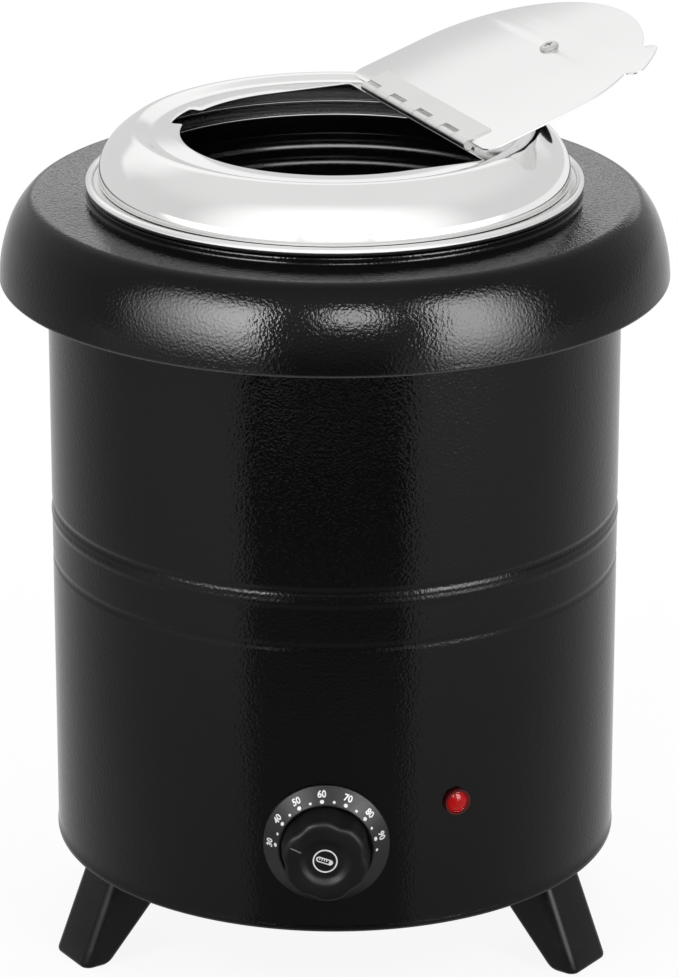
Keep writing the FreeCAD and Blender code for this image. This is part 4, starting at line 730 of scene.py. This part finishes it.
def cross_head(radius, height, shank, length):
    """A pan head screw with a cross recess. The head stands on its own XY plane."""
    profile = rounded([
        (0, -length),
        (shank, -length, SHANK_ROUND),
        (shank, 0),
        (radius, 0, HEAD_FOOT_ROUND),
        (radius, height * HEAD_SIDE),
        (radius * HEAD_SHOULDER_R, height * HEAD_SHOULDER, radius * HEAD_ROUND),
        (0, height),
    ])
    arm, width = radius * CROSS_ARM, radius * CROSS_WIDTH
    low, high = height - height * CROSS_DEPTH, height + CROSS_CLEAR
    slotted = carved(turned(profile, SCREW_SIDES), slab(arm, width, low, high))
    return carved(slotted, slab(width, arm, low, high))


def screws():
    flap_screw = moved(cross_head(*FLAP_SCREW), Matrix.Translation((0, GRIP_REACH, FLAP_FACE)))
    piece("flap_screw", flap_screw, "zinc_fasteners", "flap", flap_place, "flap_knob_screw")
    head = cross_head(*BASE_SCREW)
    heads = [moved(head, outward(turn, BODY_R + SCREW_GAP, SCREW_Z)) for turn in SCREW_TURNS]
    piece("base_plate_screws", joined(*heads), "zinc_fasteners", "casing", node="base_screws")


# Knob, dial and lamp.
def flute(angle):
    """Depth of the knob's finger flutes round its side, from 0 to 1."""
    pitch = 360 / FLUTES
    away = abs((math.degrees(angle) - FLUTE_TURN + pitch / 2) % pitch - pitch / 2) / FLUTE_HALF
    return math.cos(away * math.pi / 2) ** 2 if away < 1 else 0.0


def knob():
    shape = turned(KNOB_OUTLINE, KNOB_SIDES, flute)
    piece("knob", shape, "black_moulding", "control", knob_place, "control_knob", sharp=KNOB_SHARP)


def disc(radius, low, high, sides, x=0.0, y=0.0):
    shape = turned([(0, low), (radius, low), (radius, high), (0, high)], sides)
    return moved(shape, Matrix.Translation((x, y, 0)))


def stroke(start, end, width, low, high):
    """A straight printed line with round ends."""
    heading = math.degrees(math.atan2(end.y - start.y, end.x - start.x))
    outline = arc(width / 2, heading + 90, heading + 270, *start, STROKE_STEPS)
    outline += arc(width / 2, heading - 90, heading + 90, *end, STROKE_STEPS)
    return stacked([[(*spot, z) for spot in outline] for z in (low, high)])


def knob_print():
    """The pointer, and a thermometer in a ring in the knob's dish."""
    low, high = KNOB_DISH - PRINT_SUNK, KNOB_DISH + PRINT_LAYER
    over, top = high + PRINT_LAYER, high + 2 * PRINT_LAYER
    inner, outer = PRINT_RING_IN, PRINT_RING_OUT
    ring = turned([(inner, low), (outer, low), (outer, high), (inner, high)], SMALL_SIDES)
    along, across = Vector(polar(1, THERMOMETER_TURN)), Vector(polar(1, THERMOMETER_TURN + 90))
    tube = stroke(along * TUBE_START, along * TUBE_END, TUBE_WIDTH, low, high)
    bore = stroke(along * BORE_START, along * BORE_END, BORE_WIDTH, low, over)
    bulb = disc(BULB_R, low, top, TINY_SIDES, *(along * BULB_PLACE))
    ticks = [stroke(along * tick + across * TICK_LOW, along * tick + across * TICK_HIGH, TICK_WIDTH, low, top)
             for tick in TICKS]
    heading = Vector(polar(1, POINTER_TURN))
    pointer = stroke(heading * POINTER_START, heading * POINTER_END, POINTER_WIDTH,
                     KNOB_FACE - POINTER_SUNK, KNOB_FACE + PRINT_LAYER)
    piece("knob_print", joined(ring, tube, bulb, *ticks), "white_print", "control", knob_place)
    piece("knob_print_bore", bore, "black_moulding", "control", knob_place)
    piece("knob_pointer", pointer, "grey_print", "control", knob_place)


def on_bezel(shape, turn, radius):
    """Lay a flat print on the bezel's sloping face: its X along the rim and its Y outwards."""
    slope = math.hypot(BEZEL_OUT - BEZEL_IN, BEZEL_FRONT_Y - BEZEL_EDGE_Y)
    run, rise = (BEZEL_OUT - BEZEL_IN) / slope, (BEZEL_EDGE_Y - BEZEL_FRONT_Y) / slope
    points = []
    for x, y, lift in shape[0]:
        reach = radius + y * run
        angle = math.radians(turn) - x / reach
        front = BEZEL_EDGE_Y - (BEZEL_OUT - reach) * rise / run
        reach, front = reach + lift * rise, front - lift * run
        points.append((reach * math.cos(angle), front, DIAL_Z + reach * math.sin(angle)))
    return points, shape[1]


def lettering(text, height):
    """A flat number, centred on the origin."""
    curve = bpy.data.curves.new("number", "FONT")
    curve.body = text
    curve.align_x = "CENTER"
    curve.align_y = "CENTER"
    curve.size = height * FONT_SIZE
    curve.offset = FONT_BOLD
    curve.extrude = FONT_HALF
    curve.resolution_u = FONT_STEPS
    holder = bpy.data.objects.new("number", curve)
    bpy.context.scene.collection.objects.link(holder)
    solved = holder.evaluated_get(bpy.context.evaluated_depsgraph_get())
    points, faces = read_mesh(bpy.data.meshes.new_from_object(solved))
    bpy.data.objects.remove(holder)
    return [(x * FONT_NARROW, y, z) for x, y, z in points], faces


def dial_print():
    marks = []
    for i, number in enumerate(NUMBERS):
        turn = NUMBER_START - NUMBER_STEP * i
        marks.append(on_bezel(lettering(str(number), NUMBER_HEIGHT), turn, NUMBER_R))
        for radius, dot_turn in ((BIG_DOT, turn), (SMALL_DOT, turn - NUMBER_STEP / 2)):
            marks.append(on_bezel(disc(radius, DOT_LOW, DOT_HIGH, DOT_SIDES), dot_turn, DOT_RING))
    piece("dial_print", joined(*marks), "white_print", "casing")


def lens():
    profile = rounded(LENS_RIM, LENS_STEPS)
    profile += arc(LENS_DOME_R, LENS_DOME_TURN, 90, 0, LENS_DOME_Z, LENS_DOME_STEPS)
    shape = moved(turned(profile, SMALL_SIDES), outward(LAMP_TURN, BODY_R + LENS_GAP, LAMP_Z))
    piece("lamp_lens", shape, "red_lens", "casing", node="pilot_lamp_lens")


casing_wall()
collar_shell()
legs()
pot_shell()
lid_shell()
lid_rim_ring()
flap_plate()
flap_grip()
screws()
knob()
knob_print()
dial_print()
lens()


# Studio: white floor and surroundings, soft boxes that reflections see, and area lamps that light the rest.
def group(name, objects):
    """A set of objects that a soft box is limited to."""
    made = bpy.data.collections.new(name)
    for obj in objects:
        made.objects.link(obj)
    return made


STEEL_LOOK = ("lid_shell", "lid_rim_ring", "pot_shell", "flap_plate", "flap_screw",
              "lid_hinge_leaf", "flap_hinge_leaf", "hinge_pin")
shapes = [obj for obj in bpy.data.objects if obj.type == "MESH"]
bright_steel = group("bright_steel", [obj for obj in shapes if obj.name in STEEL_LOOK])
dark_finish = group("dark_finish", [obj for obj in shapes if obj.name not in STEEL_LOOK])


def combine(tree, operation, first, second):
    node = tree.nodes.new("ShaderNodeMath")
    node.operation = operation
    tree.links.new(first, node.inputs[0])
    tree.links.new(second, node.inputs[1])
    return node.outputs["Value"]


def ramp(tree, source, start, end, first, last):
    """A value that changes smoothly from a first to a last one while the source goes from start to end."""
    node = tree.nodes.new("ShaderNodeMapRange")
    node.interpolation_type = "SMOOTHSTEP"
    for socket, value in zip(("From Min", "From Max", "To Min", "To Max"), (start, end, first, last)):
        node.inputs[socket].default_value = value
    tree.links.new(source, node.inputs["Value"])
    return node.outputs["Result"]


def hump(tree, source, stops):
    """A value that rises from 0 to 1 between the first two stops and falls again between the last two."""
    rise = ramp(tree, source, stops[0], stops[1], 0, 1)
    return combine(tree, "MULTIPLY", rise, ramp(tree, source, stops[2], stops[3], 1, 0))


def parts_of(tree, coordinates):
    """X, Y and Z of one of the texture coordinates."""
    split = tree.nodes.new("ShaderNodeSeparateXYZ")
    tree.links.new(tree.nodes.new("ShaderNodeTexCoord").outputs[coordinates], split.inputs["Vector"])
    return split.outputs


def white_or(tree, level):
    """White to the camera and a level of its own in reflections."""
    path = tree.nodes.new("ShaderNodeLightPath")
    return combine(tree, "MAXIMUM", path.outputs["Is Camera Ray"], level)


def light_path_mix(tree, backdrop, other):
    """Show the backdrop to the camera, in reflections and through glass, and the other shader to the rest."""
    path = tree.nodes.new("ShaderNodeLightPath")
    seen = path.outputs["Is Camera Ray"]
    for kind in ("Is Glossy Ray", "Is Transmission Ray"):
        seen = combine(tree, "MAXIMUM", seen, path.outputs[kind])
    mix = tree.nodes.new("ShaderNodeMixShader")
    tree.links.new(seen, mix.inputs["Fac"])
    tree.links.new(other, mix.inputs[1])
    tree.links.new(backdrop, mix.inputs[2])
    return mix.outputs["Shader"]


def studio_world():
    """White to the camera; in reflections white in front and greyer behind, and a faint light to the rest."""
    world = bpy.data.worlds.new("studio")
    bpy.context.scene.world = world
    world.use_nodes = True
    tree = world.node_tree
    plain = tree.nodes["Background"]
    plain.inputs["Color"].default_value = (1, 1, 1, 1)
    plain.inputs["Strength"].default_value = 0.3
    white = tree.nodes.new("ShaderNodeBackground")
    white.inputs["Color"].default_value = (1, 1, 1, 1)
    side = parts_of(tree, "Generated")
    front = ramp(tree, side["Y"], start=-0.75, end=-0.2, first=1.12, last=0.7)
    overhead = ramp(tree, side["Z"], start=0.3, end=0.9, first=0, last=0.11)
    level = combine(tree, "ADD", front, overhead)
    tree.links.new(white_or(tree, level), white.inputs["Strength"])
    shader = light_path_mix(tree, white.outputs["Background"], plain.outputs["Background"])
    tree.links.new(shader, tree.nodes["World Output"].inputs["Surface"])


ONLY_GLOSSY = ("camera", "diffuse", "transmission", "shadow", "volume_scatter")


def card(name, corners, hidden=()):
    """A flat sheet of the studio with its own 0 to 1 coordinates, hidden from some kinds of rays."""
    mesh = bpy.data.meshes.new(name)
    mesh.from_pydata(corners, [], [[0, 1, 2, 3]])
    layer = mesh.uv_layers.new(name="across")
    for loop, spot in zip(layer.data, ((0, 0), (1, 0), (1, 1), (0, 1))):
        loop.uv = spot
    sheet = bpy.data.objects.new(name, mesh)
    bpy.context.scene.collection.objects.link(sheet)
    for ray in hidden:
        setattr(sheet, f"visible_{ray}", False)
    material = bpy.data.materials.new(name)
    material.use_nodes = True
    mesh.materials.append(material)
    return material.node_tree


def studio_floor():
    """A floor, white to the camera but for a soft shadow near the kettle, and graded in reflections."""
    half = FLOOR_HALF
    tree = card("floor", [(-half, -half, 0), (half, -half, 0), (half, half, 0), (-half, half, 0)])
    shader = tree.nodes["Principled BSDF"]
    shader.inputs["Base Color"].default_value = (0.9, 0.9, 0.9, 1)
    shader.inputs["Roughness"].default_value = 0.9
    shader.inputs["Specular IOR Level"].default_value = 0.0
    glow = tree.nodes.new("ShaderNodeEmission")
    glow.inputs["Color"].default_value = (1, 1, 1, 1)
    side = parts_of(tree, "Object")
    front = ramp(tree, side["Y"], start=-0.8, end=0.1, first=1.4, last=0.7)
    right = ramp(tree, side["X"], start=0, end=1, first=0, last=0.2)
    level = combine(tree, "ADD", front, right)
    tree.links.new(white_or(tree, level), glow.inputs["Strength"])
    away = tree.nodes.new("ShaderNodeVectorMath")
    away.operation = "LENGTH"
    tree.links.new(tree.nodes.new("ShaderNodeTexCoord").outputs["Object"], away.inputs[0])
    faint = tree.nodes.new("ShaderNodeMixShader")
    share = ramp(tree, away.outputs["Value"], start=0.25, end=1.0, first=0.9, last=1)
    tree.links.new(share, faint.inputs["Fac"])
    tree.links.new(shader.outputs["BSDF"], faint.inputs[1])
    tree.links.new(glow.outputs["Emission"], faint.inputs[2])
    mixed = light_path_mix(tree, faint.outputs["Shader"], shader.outputs["BSDF"])
    tree.links.new(mixed, tree.nodes["Material Output"].inputs["Surface"])


def around(offset, distance):
    """A spot some distance from the middle of the collar."""
    return Vector((0, 0, MIDDLE_HEIGHT)) + offset * distance


def climb(elevation):
    """How far up a level step of length 1 gets at an elevation."""
    return Vector((0, 0, math.tan(math.radians(elevation))))


def standing(across, up, distance):
    """Corners of an upright card between azimuths from the dial's side and elevations."""
    middle, half = (across[0] + across[-1]) / 2, (across[-1] - across[0]) / 2
    aside = toward(middle + 90) * math.tan(math.radians(half))
    ends = ((-1, up[0]), (1, up[0]), (1, up[-1]), (-1, up[-1]))
    return [around(toward(middle) + aside * side + climb(rise), distance) for side, rise in ends]


def floor_fan(left, right, length):
    """Corners of a strip of floor that the casing mirrors between two of its directions."""
    corners = []
    for turn, reach in ((left, 0), (right, 0), (right, length), (left, length)):
        foot = toward(turn) * BODY_R * MM
        corners.append(foot + toward(2 * turn) * reach + Vector((0, 0, FLOOR_LIFT)))
    return corners


def shares(angles, middle):
    """Where angles lie across a flat card, from 0 to 1."""
    reach = [math.tan(math.radians(angle - middle)) for angle in angles]
    return [(value - reach[0]) / (reach[-1] - reach[0]) for value in reach]


def soft_box(name, lit, across, up, level, distance=1.6):
    """A glow between azimuths and elevations, added to what lies behind it. Each is start, full, full, end.
    Only first reflections in one set of objects show it."""
    tree = card(name, standing(across, up, distance), ONLY_GLOSSY)
    bpy.data.objects[name].light_linking.receiver_collection = lit
    tree.nodes.remove(tree.nodes["Principled BSDF"])
    spot = parts_of(tree, "UV")
    side_share = hump(tree, spot["X"], shares(across, (across[0] + across[-1]) / 2))
    share = combine(tree, "MULTIPLY", side_share, hump(tree, spot["Y"], shares(up, 0)))
    depth = tree.nodes.new("ShaderNodeLightPath").outputs["Ray Depth"]
    strength = combine(tree, "MULTIPLY", share, ramp(tree, depth, start=1, end=2, first=level, last=0))
    glow = tree.nodes.new("ShaderNodeEmission")
    tree.links.new(strength, glow.inputs["Strength"])
    both = tree.nodes.new("ShaderNodeAddShader")
    tree.links.new(tree.nodes.new("ShaderNodeBsdfTransparent").outputs["BSDF"], both.inputs[0])
    tree.links.new(glow.outputs["Emission"], both.inputs[1])
    tree.links.new(both.outputs["Shader"], tree.nodes["Material Output"].inputs["Surface"])


def shade(name, corners, stops, near, far):
    """A smoked sheet for reflections. What it lets through goes from near to far, and its sides fade out."""
    tree = card(name, corners, ONLY_GLOSSY)
    tree.nodes.remove(tree.nodes["Principled BSDF"])
    spot = parts_of(tree, "UV")
    held = ramp(tree, spot["Y"], start=0, end=1, first=1 - near, last=1 - far)
    smoke = combine(tree, "MULTIPLY", held, hump(tree, spot["X"], stops))
    clear = tree.nodes.new("ShaderNodeBsdfTransparent")
    tree.links.new(ramp(tree, smoke, start=0, end=1, first=1, last=0), clear.inputs["Color"])
    tree.links.new(clear.outputs["BSDF"], tree.nodes["Material Output"].inputs["Surface"])


def area_lamp(name, azimuth, elevation, size, power, distance=2.0):
    """A lamp for everything but reflections, aimed at the kettle."""
    light = bpy.data.lights.new(name, "AREA")
    light.size = size
    light.energy = power
    lamp = bpy.data.objects.new(name, light)
    bpy.context.scene.collection.objects.link(lamp)
    lamp.location = around(toward(azimuth) + climb(elevation), distance)
    lamp.rotation_euler = (lamp.location - Vector((0, 0, LAMP_AIM))).to_track_quat("Z", "Y").to_euler()
    lamp.visible_camera = False
    lamp.visible_glossy = False


def camera():
    view = bpy.data.cameras.new("camera")
    view.sensor_fit = "VERTICAL"
    view.sensor_height = CAMERA_SENSOR
    view.lens = CAMERA_LENS
    holder = bpy.data.objects.new("camera", view)
    bpy.context.scene.collection.objects.link(holder)
    turn = math.radians(CAMERA_TURN)
    holder.location = Matrix.Rotation(turn, 3, "Z") @ Vector(CAMERA_PLACE)
    holder.rotation_euler = (math.radians(90 - CAMERA_DIP), 0, turn)
    bpy.context.scene.camera = holder


studio_world()
studio_floor()
soft_box("soft_box_left", dark_finish, across=(-76, -26, -25, -20), up=(-9, 20, 28, 49), level=35,
         distance=1.35)
soft_box("soft_box_right", dark_finish, across=(29, 41, 47, 75), up=(-17, 14, 31, 49), level=27,
         distance=1.35)
soft_box("soft_box_front", dark_finish, across=(-6, 5, 12, 22), up=(15, 26, 36, 46), level=26)
soft_box("soft_box_shelf", dark_finish, across=(142, 152, 197, 206), up=(10, 13, 20, 24), level=1.3)
soft_box("soft_box_flap", bright_steel, across=(140, 170, 215, 245), up=(18, 24, 42, 60), level=0.27)
soft_box("soft_box_lid", bright_steel, across=(-26, -8, 12, 30), up=(-18, -15, -14, 26), level=1.0,
         distance=1.15)
shade("floor_shade", floor_fan(-17.5, 16, length=1.12), stops=(0, 0.02, 0.98, 1), near=0.5, far=0.1)
shade("front_shade", standing((-22, 26), (-16.5, 24), distance=1.19), stops=(0, 0.2, 0.8, 1),
      near=0.18, far=0.9)
area_lamp("lamp_left", azimuth=-48, elevation=40, size=0.9, power=26)
area_lamp("lamp_right", azimuth=46, elevation=40, size=0.9, power=23)
area_lamp("lamp_top", azimuth=180, elevation=70, size=1.2, power=24, distance=0.6)
camera()
bpy.context.scene.view_settings.view_transform = "Standard"
